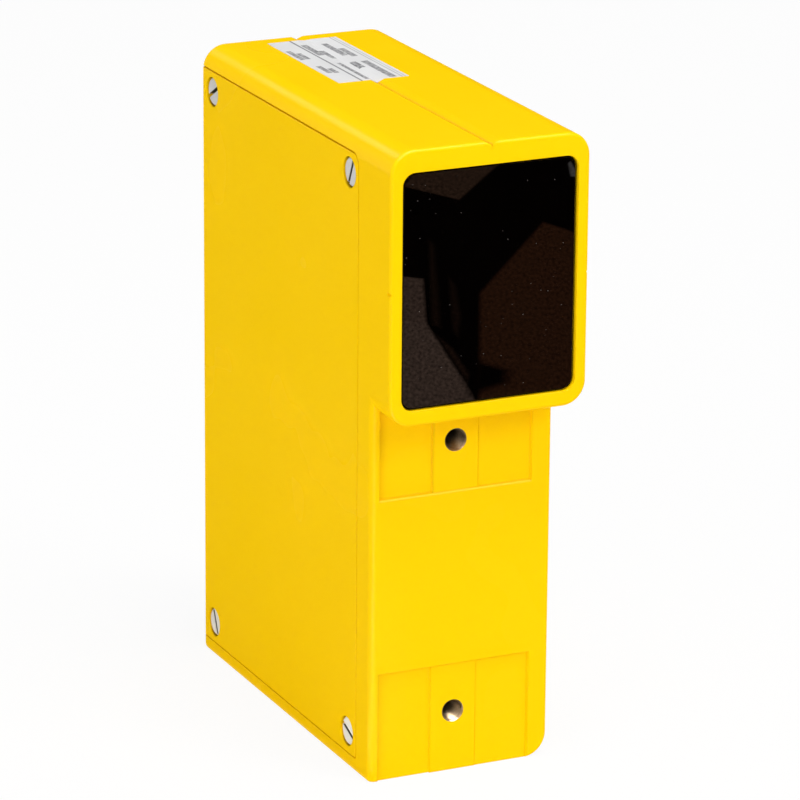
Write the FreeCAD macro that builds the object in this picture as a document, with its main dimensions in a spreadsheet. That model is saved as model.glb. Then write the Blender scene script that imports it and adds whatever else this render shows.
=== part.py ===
"""Safety light barrier, sender unit: a die-cast housing with a hooded head, a flush side cover,
a dark filter window, and the optics, boards and cable gland that it holds.

Every piece is drawn in a bench frame: x runs in from the cover's face, y back from the front of
the head, z up from the base. Its placement then moves it to the part's own frame, whose origin
is the middle of the base, with the front facing -Y and +Z up. All sizes are millimetres.
"""
import FreeCAD, Part
import math
import os
import re
import Sketcher

# Driving sizes: alias, value, meaning
SIZES = [
    ("housing_height", 160.0, "base to top"),
    ("housing_depth", 113.0, "front of the head to the back"),
    ("head_width", 51.5, "upper part, cover face to right side"),
    ("body_width", 47.5, "lower part, cover face to right side"),
    ("hood_reach", 10.0, "head in front of the lower front"),
    ("hood_underside", 92.8, "height of the underside of the head"),
    ("corner_radius", 6.0, "rounded corners seen from the front"),
    ("wall", 3.0, "cast wall"),
    ("head_edge_radius", 0.9, "edges of the head's front face"),
    ("side_edge_radius", 1.7, "upright edge beside the cover"),
    ("foot_edge_radius", 0.7, "edges of the lower front and base"),
    ("back_edge_radius", 1.0, "edges of the back"),
    ("heel_radius", 3.2, "lower edge of the back"),
    ("groove_width", 3.6, "sighting groove along the top"),
    ("groove_depth", 0.9, "sighting groove along the top"),
    ("groove_root_width", 0.4, "fine line along the groove's bottom"),
    ("groove_root_depth", 0.4, "fine line along the groove's bottom"),
    ("notch_width", 1.1, "sighting notches beside the window"),
    ("notch_depth", 0.5, "sighting notches beside the window"),
    ("notch_length", 1.6, "sighting notches beside the window"),
    ("recess_left", 2.2, "shallow recesses, edge to cover face"),
    ("recess_width", 40.2, "shallow recesses of the lower front"),
    ("recess_depth", 1.0, "shallow recesses, left of the strip"),
    ("right_recess_depth", 0.75, "shallow recesses, right of the strip"),
    ("strip_width", 11.6, "strip between the sides of a recess"),
    ("strip_depth", 0.5, "shallow recesses, at the strip"),
    ("recess_slope", 20.0, "slope of a recess's edges, degrees"),
    ("lower_recess_height", 27.7, "recess at the base"),
    ("upper_recess_height", 21.2, "recess under the hood"),
    ("recess_sill", 0.3, "bevel along the upper recess's lower edge"),
    ("mount_low", 15.3, "height of the lower mounting hole"),
    ("mount_spacing", 69.1, "between the two mounting holes"),
    ("mount_radius", 2.5, "tapped mounting hole, M5"),
    ("mount_depth", 10.0, "tapped mounting hole"),
    ("mount_chamfer", 0.35, "tapped mounting hole's mouth"),
    ("mount_boss_wall", 3.0, "metal round a mounting hole"),
    ("cover_front", 18.0, "front of the head to the cover's seam"),
    ("cover_low", 3.3, "base to the cover's seam"),
    ("cover_top_margin", 5.0, "cover's seam to the top"),
    ("cover_thickness", 4.0, "side cover"),
    ("cover_corner", 3.2, "upper front corner of the cover's seam"),
    ("cover_foot_corner", 0.8, "lower front corner of the cover's seam"),
    ("cover_edge_radius", 0.15, "edges of the cover along the seam"),
    ("seam_gap", 0.4, "between cover and housing, above and in front"),
    ("foot_seam_gap", 0.2, "between cover and housing, below"),
    ("rib_inset", 12.0, "cover's outline to its stiffening rib"),
    ("rib_width", 2.0, "cover's stiffening rib"),
    ("rib_height", 2.5, "cover's stiffening rib"),
    ("gasket_thickness", 1.0, "cover gasket"),
    ("gasket_margin", 0.8, "seam to the gasket's edge"),
    ("ledge_width", 4.0, "ledge under the gasket"),
    ("back_ledge_width", 4.5, "ledge under the gasket at the back"),
    ("ledge_thickness", 3.0, "ledge under the gasket"),
    ("screw_inset", 5.5, "seam to a cover screw"),
    ("screw_back_inset", 6.5, "back to a cover screw"),
    ("screw_sink", 0.45, "cover screw's head below the face"),
    ("screw_boss_half", 4.8, "half width of a cover screw's boss"),
    ("cover_screw_head_radius", 3.5, "M4 cheese head"),
    ("cover_screw_head_height", 2.6, "M4 cheese head"),
    ("cover_screw_radius", 2.0, "M4"),
    ("cover_screw_length", 10.0, "M4, under the head"),
    ("cover_screw_slot_width", 1.0, "M4 cheese head"),
    ("cover_screw_slot_depth", 1.3, "M4 cheese head"),
    ("counterbore_gap", 0.25, "round a cover screw's head"),
    ("hole_play", 0.3, "round a screw in a through hole"),
    ("thread_play", 0.05, "round a screw in its thread"),
    ("hole_end_gap", 1.0, "past the tip of a screw"),
    ("hole_end_wall", 1.5, "past the end of a blind hole"),
    ("window_side_border", 3.0, "frame beside the window"),
    ("window_low_border", 3.8, "frame under the window"),
    ("window_top_border", 5.5, "frame over the window"),
    ("window_corner", 3.2, "corners of the window"),
    ("pane_setback", 0.7, "pane behind the head's front"),
    ("pane_thickness", 3.0, "filter pane"),
    ("pane_gap", 0.25, "round the pane"),
    ("pane_chamfer", 0.4, "front edge of the pane"),
    ("seal_thickness", 1.0, "seal behind the pane"),
    ("seal_width", 2.2, "seal behind the pane"),
    ("seat_width", 2.5, "seat behind the seal"),
    ("seat_thickness", 2.5, "seat behind the seal"),
    ("tube_gap", 0.8, "window seat to the optics tube"),
    ("tube_length", 56.0, "optics tube"),
    ("tube_wall", 1.6, "optics tube"),
    ("tail_radius", 9.0, "emitter end of the optics tube"),
    ("tail_thickness", 4.0, "emitter end of the optics tube"),
    ("tail_opening", 6.0, "inside the tube at the emitter"),
    ("optics_gap", 0.65, "optics tube to the ledge"),
    ("lens_shoulder", 1.0, "shoulder that the lens sits on"),
    ("lens_seat_depth", 8.5, "front of the tube to the shoulder"),
    ("lens_edge", 2.5, "edge of the lens"),
    ("lens_rim", 1.5, "flat rim round the lens"),
    ("lens_bulge", 6.0, "height of the lens's curved face"),
    ("lens_play", 0.1, "round the lens"),
    ("ring_thickness", 2.5, "lens ring"),
    ("ring_play", 0.05, "round the lens ring"),
    ("aperture_radius", 2.0, "hole in the aperture plate"),
    ("aperture_thickness", 0.8, "aperture plate"),
    ("aperture_play", 0.2, "round the aperture plate"),
    ("led_flange_radius", 2.7, "emitter's flange"),
    ("led_flange_height", 0.6, "emitter's flange"),
    ("led_radius", 2.35, "emitter's can"),
    ("led_height", 3.0, "emitter's can"),
    ("led_bore_play", 0.3, "round the emitter's flange"),
    ("emitter_board_side", 22.0, "emitter board"),
    ("emitter_screw_offset", 7.5, "axis to an emitter board screw"),
    ("plate_setback", 20.0, "front of the tube to its side plate"),
    ("plate_length", 30.0, "tube's side plate"),
    ("plate_gap", 2.0, "inside of the head to the plate's ends"),
    ("plate_thickness", 3.0, "tube's side plate"),
    ("plate_screw_inset", 4.5, "edge of the plate to a screw"),
    ("web_height", 9.0, "web between the tube and its plate"),
    ("boss_wall", 2.0, "metal round a small tapped hole"),
    ("small_screw_head_radius", 2.75, "M3 pan head"),
    ("small_screw_head_height", 2.4, "M3 pan head"),
    ("small_screw_radius", 1.5, "M3"),
    ("small_screw_length", 7.0, "M3, under the head"),
    ("small_screw_slot_width", 0.8, "M3 pan head"),
    ("small_screw_slot_depth", 1.0, "M3 pan head"),
    ("tiny_screw_head_radius", 1.9, "M2 pan head"),
    ("tiny_screw_head_height", 1.5, "M2 pan head"),
    ("tiny_screw_radius", 1.0, "M2"),
    ("tiny_screw_length", 5.0, "M2, under the head"),
    ("tiny_screw_slot_width", 0.5, "M2 pan head"),
    ("tiny_screw_slot_depth", 0.7, "M2 pan head"),
    ("board_thickness", 1.6, "circuit boards"),
    ("board_standoff", 7.0, "right wall to the main board"),
    ("board_front_gap", 13.0, "lower front wall to the main board"),
    ("board_back_gap", 7.0, "back wall to the main board"),
    ("board_low_gap", 9.0, "floor to the main board"),
    ("board_top_gap", 5.0, "hood underside to the main board"),
    ("board_screw_inset", 5.0, "edge of the main board to a screw"),
    ("terminal_count", 6, "terminals"),
    ("terminal_pitch", 5.08, "between terminals"),
    ("terminal_depth", 12.0, "terminal block, off the board"),
    ("terminal_height", 12.0, "terminal block"),
    ("terminal_low", 26.0, "board's lower edge to the block"),
    ("terminal_back", 6.0, "board's back edge to the block"),
    ("terminal_bevel", 3.0, "terminal block's bevelled edge"),
    ("terminal_well_depth", 6.0, "terminal screw's well"),
    ("terminal_mouth", 3.2, "wire opening's side"),
    ("terminal_mouth_depth", 4.0, "wire opening"),
    ("terminal_screw_head_radius", 1.7, "terminal screw"),
    ("terminal_screw_head_height", 1.6, "terminal screw"),
    ("terminal_screw_radius", 1.2, "terminal screw"),
    ("terminal_screw_length", 3.0, "terminal screw, under the head"),
    ("terminal_screw_slot_width", 0.6, "terminal screw"),
    ("terminal_screw_slot_depth", 0.8, "terminal screw"),
    ("terminal_screw_play", 0.2, "round a terminal screw's head"),
    ("capacitor_radius", 5.0, "capacitors"),
    ("capacitor_height", 16.0, "capacitors"),
    ("capacitor_groove", 0.5, "rolled groove of a capacitor"),
    ("capacitor_bevel", 0.8, "rolled edge of a capacitor"),
    ("capacitor_spacing", 14.0, "between the capacitors"),
    ("capacitor_along", 12.0, "board's front edge to the capacitors"),
    ("capacitor_up", 14.0, "board's lower edge to a capacitor"),
    ("choke_radius", 6.5, "choke's flanges"),
    ("choke_height", 9.0, "choke"),
    ("choke_flange", 1.5, "choke's flanges"),
    ("choke_winding_radius", 5.2, "choke's winding"),
    ("choke_along", 27.0, "board's front edge to the choke"),
    ("choke_up", 18.0, "board's lower edge to the choke"),
    ("chip_count", 3, "logic chips"),
    ("chip_width", 8.0, "logic chips"),
    ("chip_length", 20.0, "logic chips"),
    ("chip_height", 3.2, "logic chips"),
    ("chip_notch", 1.2, "mark at a chip's end"),
    ("chip_pitch", 13.0, "between chips"),
    ("chip_along", 10.0, "board's front edge to the first chip"),
    ("chip_up", 43.0, "board's lower edge to the chips"),
    ("regulator_width", 10.0, "regulator"),
    ("regulator_length", 9.0, "regulator's body"),
    ("regulator_height", 4.5, "regulator's body"),
    ("regulator_tab", 6.3, "regulator's tab"),
    ("regulator_tab_thickness", 1.3, "regulator's tab"),
    ("regulator_hole_radius", 1.8, "regulator's tab"),
    ("regulator_along", 52.0, "board's front edge to the regulator"),
    ("regulator_up", 45.0, "board's lower edge to the regulator"),
    ("plug_width", 8.0, "lead's plugs"),
    ("plug_depth", 6.0, "lead's plugs, off their boards"),
    ("plug_height", 7.0, "lead's plugs"),
    ("plug_up_gap", 5.0, "main board's upper edge to its plug"),
    ("plug_low_gap", 1.5, "emitter board's lower edge to its plug"),
    ("lead_radius", 1.1, "lead between the boards"),
    ("lead_straight", 8.0, "lead's straight ends"),
    ("lead_bend_radius", 5.0, "lead's bends"),
    ("earth_back", 23.0, "back to the earth screw"),
    ("earth_boss_radius", 5.0, "earth boss"),
    ("earth_boss_height", 6.0, "earth boss"),
    ("earth_washer_radius", 4.5, "earth washer"),
    ("earth_washer_thickness", 0.8, "earth washer"),
    ("earth_screw_head_radius", 3.5, "M4 cheese head"),
    ("earth_screw_head_height", 2.6, "M4 cheese head"),
    ("earth_screw_radius", 2.0, "M4"),
    ("earth_screw_length", 6.5, "M4, under the head"),
    ("earth_screw_slot_width", 1.2, "M4 cheese head"),
    ("earth_screw_slot_depth", 1.3, "M4 cheese head"),
    ("gland_up", 28.0, "height of the cable gland"),
    ("gland_thread_radius", 10.0, "M20 cable gland"),
    ("gland_thread_length", 11.0, "thread inside the back face"),
    ("gland_bore_radius", 6.5, "through the gland body"),
    ("gland_flats", 24.0, "across the flats of the gland"),
    ("gland_hex_height", 6.0, "hexagon of the gland body"),
    ("gland_chamfer", 0.9, "corners of the hexagons"),
    ("gland_neck_radius", 9.0, "outer thread of the gland body"),
    ("gland_neck_length", 7.0, "outer thread of the gland body"),
    ("gland_wall", 1.4, "wall round the cable seal"),
    ("gland_nut_gap", 0.8, "gland body's hexagon to the nut"),
    ("gland_nut_height", 14.0, "gland nut"),
    ("gland_dome_height", 5.5, "rounded end of the gland nut"),
    ("gland_mouth_radius", 6.2, "mouth of the gland nut"),
    ("gland_lip", 2.0, "end wall of the gland nut"),
    ("seal_bore_radius", 5.0, "cable seal, for a 10 mm cable"),
    ("o_ring_thickness", 1.5, "seal under the gland body"),
    ("o_ring_width", 1.8, "seal under the gland body"),
    ("locknut_height", 4.5, "nut inside the back wall"),
]

# Sizes that follow from the driving sizes
DERIVED = {
    "origin_x": "body_width / 2",
    "origin_y": "(housing_depth + hood_reach) / 2",
    "rebate_depth": "cover_thickness + gasket_thickness",
    "cavity_left": "rebate_depth + ledge_thickness",
    "head_inside": "head_width - wall",
    "body_inside": "body_width - wall",
    "back_inside": "housing_depth - wall",
    "cover_top": "housing_height - cover_top_margin",
    "screw_front": "cover_front + screw_inset",
    "screw_back": "housing_depth - screw_back_inset",
    "screw_low": "cover_low + screw_inset",
    "screw_high": "cover_top - screw_inset",
    "counterbore_depth": "screw_sink + cover_screw_head_height",
    "cover_hole_end": "counterbore_depth + cover_screw_length + hole_end_gap",
    "screw_boss_end": "cover_hole_end + hole_end_wall",
    "window_left": "window_side_border",
    "window_right": "head_width - window_side_border",
    "window_low": "hood_underside + window_low_border",
    "window_high": "housing_height - window_top_border",
    "axis_x": "head_width / 2",
    "axis_z": "(window_low + window_high) / 2",
    "seat_depth": "pane_setback + pane_thickness + seal_thickness",
    "front_wall": "seat_depth + seat_thickness",
    "mount_x": "recess_left + recess_width / 2",
    "mount_high": "mount_low + mount_spacing",
    "strip_left": "mount_x - strip_width / 2",
    "strip_right": "mount_x + strip_width / 2",
    "recess_right": "recess_left + recess_width",
    "lens_radius": "axis_x - cavity_left - tube_wall + lens_shoulder - optics_gap",
    "lens_opening": "lens_radius - lens_shoulder",
    "lens_bore": "lens_radius + lens_play",
    "lens_face_radius": "lens_radius - lens_rim",
    "neck_radius": "lens_opening + tube_wall",
    "tube_head_radius": "lens_bore + tube_wall",
    "tube_front": "front_wall + tube_gap",
    "tube_head_length": "cover_front - tube_front - optics_gap",
    "tube_back": "tube_front + tube_length",
    "led_bore": "led_flange_radius + led_bore_play",
    "plate_end": "tube_length - plate_setback",
    "plate_start": "plate_end - plate_length",
    "plate_right": "neck_radius + plate_thickness",
    "optics_screw_x": "axis_x + neck_radius",
    "optics_boss_x": "axis_x + plate_right",
    "optics_screw_front": "tube_front + plate_setback + plate_screw_inset",
    "optics_screw_back": "tube_front + plate_setback + plate_length - plate_screw_inset",
    "plate_low": "hood_underside + wall + plate_gap",
    "plate_high": "housing_height - wall - plate_gap",
    "optics_screw_low": "plate_low + plate_screw_inset",
    "optics_screw_high": "plate_high - plate_screw_inset",
    "board_right": "body_inside - board_standoff",
    "board_left": "board_right - board_thickness",
    "board_front": "hood_reach + wall + board_front_gap",
    "board_back": "back_inside - board_back_gap",
    "board_low": "wall + board_low_gap",
    "board_high": "hood_underside - board_top_gap",
    "board_screw_front": "board_front + board_screw_inset",
    "board_screw_back": "board_back - board_screw_inset",
    "board_screw_low": "board_low + board_screw_inset",
    "board_screw_high": "board_high - board_screw_inset",
    "small_hole_radius": "small_screw_radius + thread_play",
    "small_boss_radius": "small_screw_radius + boss_wall",
    "terminal_end": "board_back - terminal_back",
    "terminal_start": "terminal_end - terminal_count * terminal_pitch",
    "terminal_base": "board_low + terminal_low",
    "terminal_left": "board_left - terminal_depth",
    "terminal_well_radius": "terminal_screw_head_radius + terminal_screw_play",
    "lead_y": "tube_back + board_thickness + plug_depth / 2",
    "main_plug_x": "board_left - plug_depth / 2",
    "main_plug_top": "board_high - plug_up_gap",
    "emitter_plug_base": "axis_z - emitter_board_side / 2 + plug_low_gap",
    "earth_y": "housing_depth - earth_back",
    "earth_boss_x": "head_inside - earth_boss_height",
    "gland_x": "body_width / 2",
    "gland_corner": "gland_flats / 2 / cos(30)",
    "gland_hole_radius": "gland_thread_radius + thread_play",
    "gland_hex_top": "o_ring_thickness + gland_hex_height",
    "gland_neck_top": "gland_hex_top + gland_neck_length",
    "gland_nut_base": "gland_hex_top + gland_nut_gap",
    "gland_nut_top": "gland_nut_base + gland_nut_height",
    "gland_pocket_radius": "gland_neck_radius - gland_wall",
    "gland_seal_top": "gland_nut_top - gland_lip",
}

VECTOR = FreeCAD.Vector
FACING = {
    "up": FreeCAD.Rotation(),
    "front": FreeCAD.Rotation(VECTOR(1, 0, 0), 90),
    "back": FreeCAD.Rotation(VECTOR(1, 0, 0), -90),
    "left": FreeCAD.Rotation(VECTOR(0, 1, 0), -90),
}
TOLERANCE = 1e-4
SLOT_ANGLES = {"front_high": -23.0, "back_high": -59.0, "front_low": 69.0, "back_low": 24.0}

doc = FreeCAD.newDocument("light_barrier")
sheet = doc.addObject("Spreadsheet::Sheet", "Sizes")
for row, (alias, size, meaning) in enumerate(SIZES, start=1):
    sheet.set("A%d" % row, meaning)
    sheet.set("B%d" % row, str(size))
    sheet.setAlias("B%d" % row, alias)
doc.recompute()
ALIASES = {alias for alias, size, meaning in SIZES}
NODES = []


def formula(text):
    """Write a formula out in the sheet's own cells."""
    def cell(match):
        word = match.group()
        if word in DERIVED:
            return "(" + formula(DERIVED[word]) + ")"
        return "Sizes." + word if word in ALIASES else word
    return re.sub(r"[a-z_]+", cell, text)


def value(text):
    """The number that a formula gives."""
    return float(sheet.evalExpression(formula(text)))


def bind(thing, prop, text):
    """Tie a property to the sheet."""
    thing.setExpression(prop, formula(text))


def place(thing, x, y, z, facing="up"):
    """Put a piece at a point of the bench frame, with its own +Z turned to a side."""
    thing.Placement = FreeCAD.Placement(VECTOR(), FACING[facing])
    bind(thing, "Placement.Base.x", "%s - origin_x" % x)
    bind(thing, "Placement.Base.y", "%s - origin_y" % y)
    bind(thing, "Placement.Base.z", z)


def spot(x, y, z, facing="up", spin=0.0):
    """The same place as a value, for copies, with a turn about the piece's own axis."""
    base = VECTOR(value("%s - origin_x" % x), value("%s - origin_y" % y), value(z))
    return FreeCAD.Placement(base, FACING[facing] * FreeCAD.Rotation(VECTOR(0, 0, 1), spin))


def new_body(label, is_node=True):
    """A body whose label names its node."""
    body = doc.addObject("PartDesign::Body", label)
    body.Label = label
    if is_node:
        NODES.append(body)
    return body


def pin_point(sketch, shape, point, x, y):
    """Fix a point of a sketch by its two distances from the sketch's origin."""
    for kind, text in (("DistanceX", x), ("DistanceY", y)):
        index = sketch.addConstraint(Sketcher.Constraint(kind, -1, 1, shape, point, value(text)))
        bind(sketch, "Constraints[%d]" % index, text)


def set_radius(sketch, shape, text):
    """Fix the radius of a circle or an arc of a sketch."""
    index = sketch.addConstraint(Sketcher.Constraint("Radius", shape, value(text)))
    bind(sketch, "Constraints[%d]" % index, text)


def polygon(points):
    """Outline of straight runs between points given as formulas."""
    def draw(sketch):
        spots = [VECTOR(value(x), value(y), 0) for x, y in points]
        lines = []
        for here, there in zip(spots, spots[1:] + spots[:1]):
            lines.append(sketch.addGeometry(Part.LineSegment(here, there), False))
        for index, line in enumerate(lines):
            sketch.addConstraint(Sketcher.Constraint("Coincident", lines[index - 1], 2, line, 1))
            pin_point(sketch, line, 1, *points[index])
    return draw


def rectangle(left, right, low, high, corners=(None, None, None, None)):
    """Outline with a radius or a sharp corner at left low, right low, right high, left high."""
    sides = [(left, low, 1, 1), (right, low, -1, 1), (right, high, -1, -1), (left, high, 1, -1)]

    def draw(sketch):
        ends = []
        for index, (x, y, inward_x, inward_y) in enumerate(sides):
            radius = corners[index]
            if radius is None:
                ends.append((VECTOR(value(x), value(y), 0), None))
                continue
            middle_x = "(%s) %s (%s)" % (x, "+-"[inward_x < 0], radius)
            middle_y = "(%s) %s (%s)" % (y, "+-"[inward_y < 0], radius)
            middle = VECTOR(value(middle_x), value(middle_y), 0)
            circle = Part.Circle(middle, VECTOR(0, 0, 1), value(radius))
            start = math.pi * (1 + index / 2)
            arc = sketch.addGeometry(Part.ArcOfCircle(circle, start, start + math.pi / 2), False)
            pin_point(sketch, arc, 3, middle_x, middle_y)
            set_radius(sketch, arc, radius)
            first, second = ("Horizontal", "Vertical")[::1 if index % 2 == 0 else -1]
            sketch.addConstraint(Sketcher.Constraint(first, arc, 1, arc, 3))
            sketch.addConstraint(Sketcher.Constraint(second, arc, 2, arc, 3))
            ends.append((middle, arc))
        lines = []
        for index in range(4):
            here = ends[index][0]
            there = ends[(index + 1) % 4][0]
            lines.append(sketch.addGeometry(Part.LineSegment(here, there), False))
        for index, (corner, arc) in enumerate(ends):
            before = lines[index - 1]
            after = lines[index]
            if arc is None:
                sketch.addConstraint(Sketcher.Constraint("Coincident", before, 2, after, 1))
                pin_point(sketch, after, 1, sides[index][0], sides[index][1])
            else:
                sketch.addConstraint(Sketcher.Constraint("Coincident", before, 2, arc, 1))
                sketch.addConstraint(Sketcher.Constraint("Coincident", arc, 2, after, 1))
    return draw


def round_offcut(right, low, radius, margin):
    """Outline of what a rounding takes off a right-hand lower corner."""
    points = [("%s - %s" % (right, radius), low),
              ("%s - %s" % (right, radius), "%s - %s" % (low, margin)),
              ("%s + %s" % (right, margin), "%s - %s" % (low, margin)),
              ("%s + %s" % (right, margin), "%s + %s" % (low, radius)),
              (right, "%s + %s" % (low, radius))]

    def draw(sketch):
        spots = [VECTOR(value(x), value(y), 0) for x, y in points]
        lines = []
        for here, there in zip(spots, spots[1:]):
            lines.append(sketch.addGeometry(Part.LineSegment(here, there), False))
        for index, line in enumerate(lines):
            pin_point(sketch, line, 1, *points[index])
            if index:
                sketch.addConstraint(Sketcher.Constraint("Coincident", lines[index - 1], 2, line, 1))
        pin_point(sketch, lines[-1], 2, *points[-1])
        middle = VECTOR(spots[0].x, spots[-1].y, 0)
        whole = Part.Circle(middle, VECTOR(0, 0, 1), value(radius))
        arc = sketch.addGeometry(Part.ArcOfCircle(whole, -math.pi / 2, 0), False)
        sketch.addConstraint(Sketcher.Constraint("Coincident", arc, 1, lines[0], 1))
        sketch.addConstraint(Sketcher.Constraint("Coincident", arc, 2, lines[-1], 2))
        set_radius(sketch, arc, radius)
    return draw


def circle(x, y, radius):
    """Round outline."""
    def draw(sketch):
        shape = Part.Circle(VECTOR(value(x), value(y), 0), VECTOR(0, 0, 1), value(radius))
        index = sketch.addGeometry(shape, False)
        pin_point(sketch, index, 3, x, y)
        set_radius(sketch, index, radius)
    return draw


def hexagon(corner):
    """Six-sided outline about the origin, from the axis to a corner."""
    across = "%s * cos(30)" % corner
    half = "%s / 2" % corner
    return polygon([(corner, "0"), (half, across), ("-" + half, across),
                    ("-" + corner, "0"), ("-" + half, "-" + across), (half, "-" + across)])


def new_sketch(body, name, plane, start, outlines):
    """Sketch on one of the body's own planes, moved along that plane's axis."""
    support = [each for each in body.Origin.OriginFeatures if each.Role == plane + "_Plane"][0]
    sketch = body.newObject("Sketcher::SketchObject", name + "_sketch")
    sketch.AttachmentSupport = [(support, "")]
    sketch.MapMode = "FlatFace"
    bind(sketch, "AttachmentOffset.Base.z", ("-(%s)" if plane == "XZ" else "%s") % start)
    for draw in outlines:
        draw(sketch)
    return sketch


def extrude(body, kind, name, plane, start, length, outlines):
    """Pad or pocket that runs from a plane along its positive axis."""
    sketch = new_sketch(body, name, plane, start, outlines)
    feature = body.newObject("PartDesign::" + kind, name)
    feature.Profile = sketch
    bind(feature, "Length", length)
    feature.Reversed = (plane == "XZ") == (kind == "Pad")
    return feature


def pad(body, name, plane, start, length, *outlines):
    return extrude(body, "Pad", name, plane, start, length, outlines)


def pocket(body, name, plane, start, length, *outlines):
    return extrude(body, "Pocket", name, plane, start, length, outlines)


def turn(body, name, points, kind="Revolution"):
    """Profile of (radius, height) points turned about the body's own Z axis."""
    sketch = new_sketch(body, name, "XZ", "0", [polygon(points)])
    feature = body.newObject("PartDesign::" + kind, name)
    feature.Profile = sketch
    feature.ReferenceAxis = (sketch, ["V_Axis"])
    feature.Angle = 360
    return feature


def round_edges(body, name, radius, test, kind="Fillet"):
    """Round or bevel the edges whose box passes a test."""
    doc.recompute()
    base = body.Tip
    edges = ["Edge%d" % number for number, edge in enumerate(base.Shape.Edges, start=1)
             if test(edge.BoundBox)]
    feature = body.newObject("PartDesign::" + kind, name)
    feature.Base = (base, edges)
    bind(feature, "Radius" if kind == "Fillet" else "Size", radius)
    return feature


def near(one, other):
    return abs(one - other) < TOLERANCE


def screw_corners():
    """The four cover screws, as (name, y, z)."""
    return [("front_high", "screw_front", "screw_high"), ("back_high", "screw_back", "screw_high"),
            ("front_low", "screw_front", "screw_low"), ("back_low", "screw_back", "screw_low")]


def boss_outlines(edge_front, edge_back, edge_low, edge_high):
    """Blocks round the four cover screws that reach out to the given edges."""
    spans_y = [(edge_front, "screw_front + screw_boss_half"),
               ("screw_back - screw_boss_half", edge_back)]
    spans_z = [(edge_low, "screw_low + screw_boss_half"),
               ("screw_high - screw_boss_half", edge_high)]
    return [rectangle(*span_y, *span_z) for span_y in spans_y for span_z in spans_z]


def optics_corners():
    return [(y, z) for y in ("optics_screw_front", "optics_screw_back")
            for z in ("optics_screw_low", "optics_screw_high")]


def board_corners():
    return [(y, z) for y in ("board_screw_front", "board_screw_back")
            for z in ("board_screw_low", "board_screw_high")]


def make_housing():
    """Die-cast body: lower part, head, open left side, window seat, bosses and holes."""
    body = new_body("housing")
    cast_outside(body)
    hollow_inside(body)
    cut_window(body)
    cut_sight_marks(body)
    cut_front_recesses(body)
    add_bosses(body)
    drill_holes(body)
    place(body, "0", "0", "0")


def cast_outside(body):
    height = value("housing_height")
    pad(body, "lower_part", "XZ", "hood_reach", "housing_depth - hood_reach",
        rectangle("0", "body_width", "0", "hood_underside + corner_radius",
                  (None, "corner_radius", None, None)))
    front = value("hood_reach")
    round_edges(body, "side_edge", "side_edge_radius",
                lambda box: near(box.XMax, 0) and near(box.YMin, front) and near(box.YMax, front))
    top = value("hood_underside + corner_radius")
    back = value("housing_depth")

    def is_foot_edge(box):
        on_front = near(box.YMax, front) and box.XMax > value("side_edge_radius") + TOLERANCE
        on_floor = near(box.ZMax, 0) and box.YMin < back - TOLERANCE
        is_long_right = near(box.ZMin, 0) and box.XMin > value("body_width / 2")
        return (on_front and box.ZMin < top - TOLERANCE) or (on_floor and not is_long_right)
    round_edges(body, "foot_edges", "foot_edge_radius", is_foot_edge)
    pad(body, "head", "XZ", "0", "housing_depth",
        rectangle("0", "head_width", "hood_underside", "housing_height", ("corner_radius",) * 4))
    round_edges(body, "head_edges", "head_edge_radius", lambda box: near(box.YMax, 0))
    round_edges(body, "back_edges", "back_edge_radius",
                lambda box: near(box.YMin, back) and box.ZMax <= height + TOLERANCE)
    pocket(body, "heel", "YZ", "-wall", "head_width + 2 * wall",
           round_offcut("housing_depth", "0", "heel_radius", "wall"))


def hollow_inside(body):
    pocket(body, "cover_rebate", "YZ", "0", "rebate_depth",
           rectangle("cover_front", "housing_depth + wall", "cover_low", "cover_top",
                     ("cover_foot_corner", None, None, "cover_corner")))
    pocket(body, "side_opening", "YZ", "rebate_depth", "ledge_thickness",
           rectangle("cover_front + ledge_width", "housing_depth - back_ledge_width",
                     "cover_low + ledge_width", "cover_top - ledge_width"))
    pocket(body, "lower_cavity", "YZ", "cavity_left", "body_inside - cavity_left",
           rectangle("hood_reach + wall", "back_inside", "wall", "hood_underside + wall"))
    pocket(body, "upper_cavity", "YZ", "cavity_left", "head_inside - cavity_left",
           rectangle("front_wall", "back_inside", "hood_underside + wall", "housing_height - wall"))
    pocket(body, "head_chamber", "XZ", "front_wall", "cover_front - front_wall",
           rectangle("wall", "cavity_left", "hood_underside + wall", "housing_height - wall"))
    pocket(body, "front_channel", "XZ", "hood_reach + wall", "cover_front - hood_reach - wall",
           rectangle("wall", "cavity_left", "cover_low + ledge_width", "hood_underside"))


def cut_window(body):
    pocket(body, "pane_seat", "XZ", "0", "seat_depth",
           rectangle("window_left", "window_right", "window_low", "window_high",
                     ("window_corner",) * 4))
    pocket(body, "beam_opening", "XZ", "seat_depth", "seat_thickness",
           rectangle("window_left + seat_width", "window_right - seat_width",
                     "window_low + seat_width", "window_high - seat_width",
                     ("window_corner",) * 4))


def cut_sight_marks(body):
    """Groove along the top over the optical axis, and a notch in each side edge at its height."""
    pocket(body, "top_groove", "XZ", "0", "housing_depth",
           polygon([("axis_x", "housing_height - groove_depth"),
                    ("axis_x + groove_width", "housing_height + groove_depth"),
                    ("axis_x - groove_width", "housing_height + groove_depth")]))
    pocket(body, "groove_root", "XZ", "0", "housing_depth",
           polygon([("axis_x", "housing_height - groove_depth - groove_root_depth"),
                    ("axis_x + groove_root_width", "housing_height - groove_depth + groove_root_depth"),
                    ("axis_x - groove_root_width", "housing_height - groove_depth + groove_root_depth")]))
    outlines = []
    for face, sign in (("0", 1), ("head_width", -1)):
        tip = "%s %s notch_depth" % (face, "+-"[sign < 0])
        far = "%s %s notch_depth" % (face, "-+"[sign < 0])
        low = (far, "axis_z - notch_width")
        high = (far, "axis_z + notch_width")
        outlines.append(polygon([(tip, "axis_z"), low, high]))
    pocket(body, "side_notches", "XZ", "0", "notch_length", *outlines)


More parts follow.
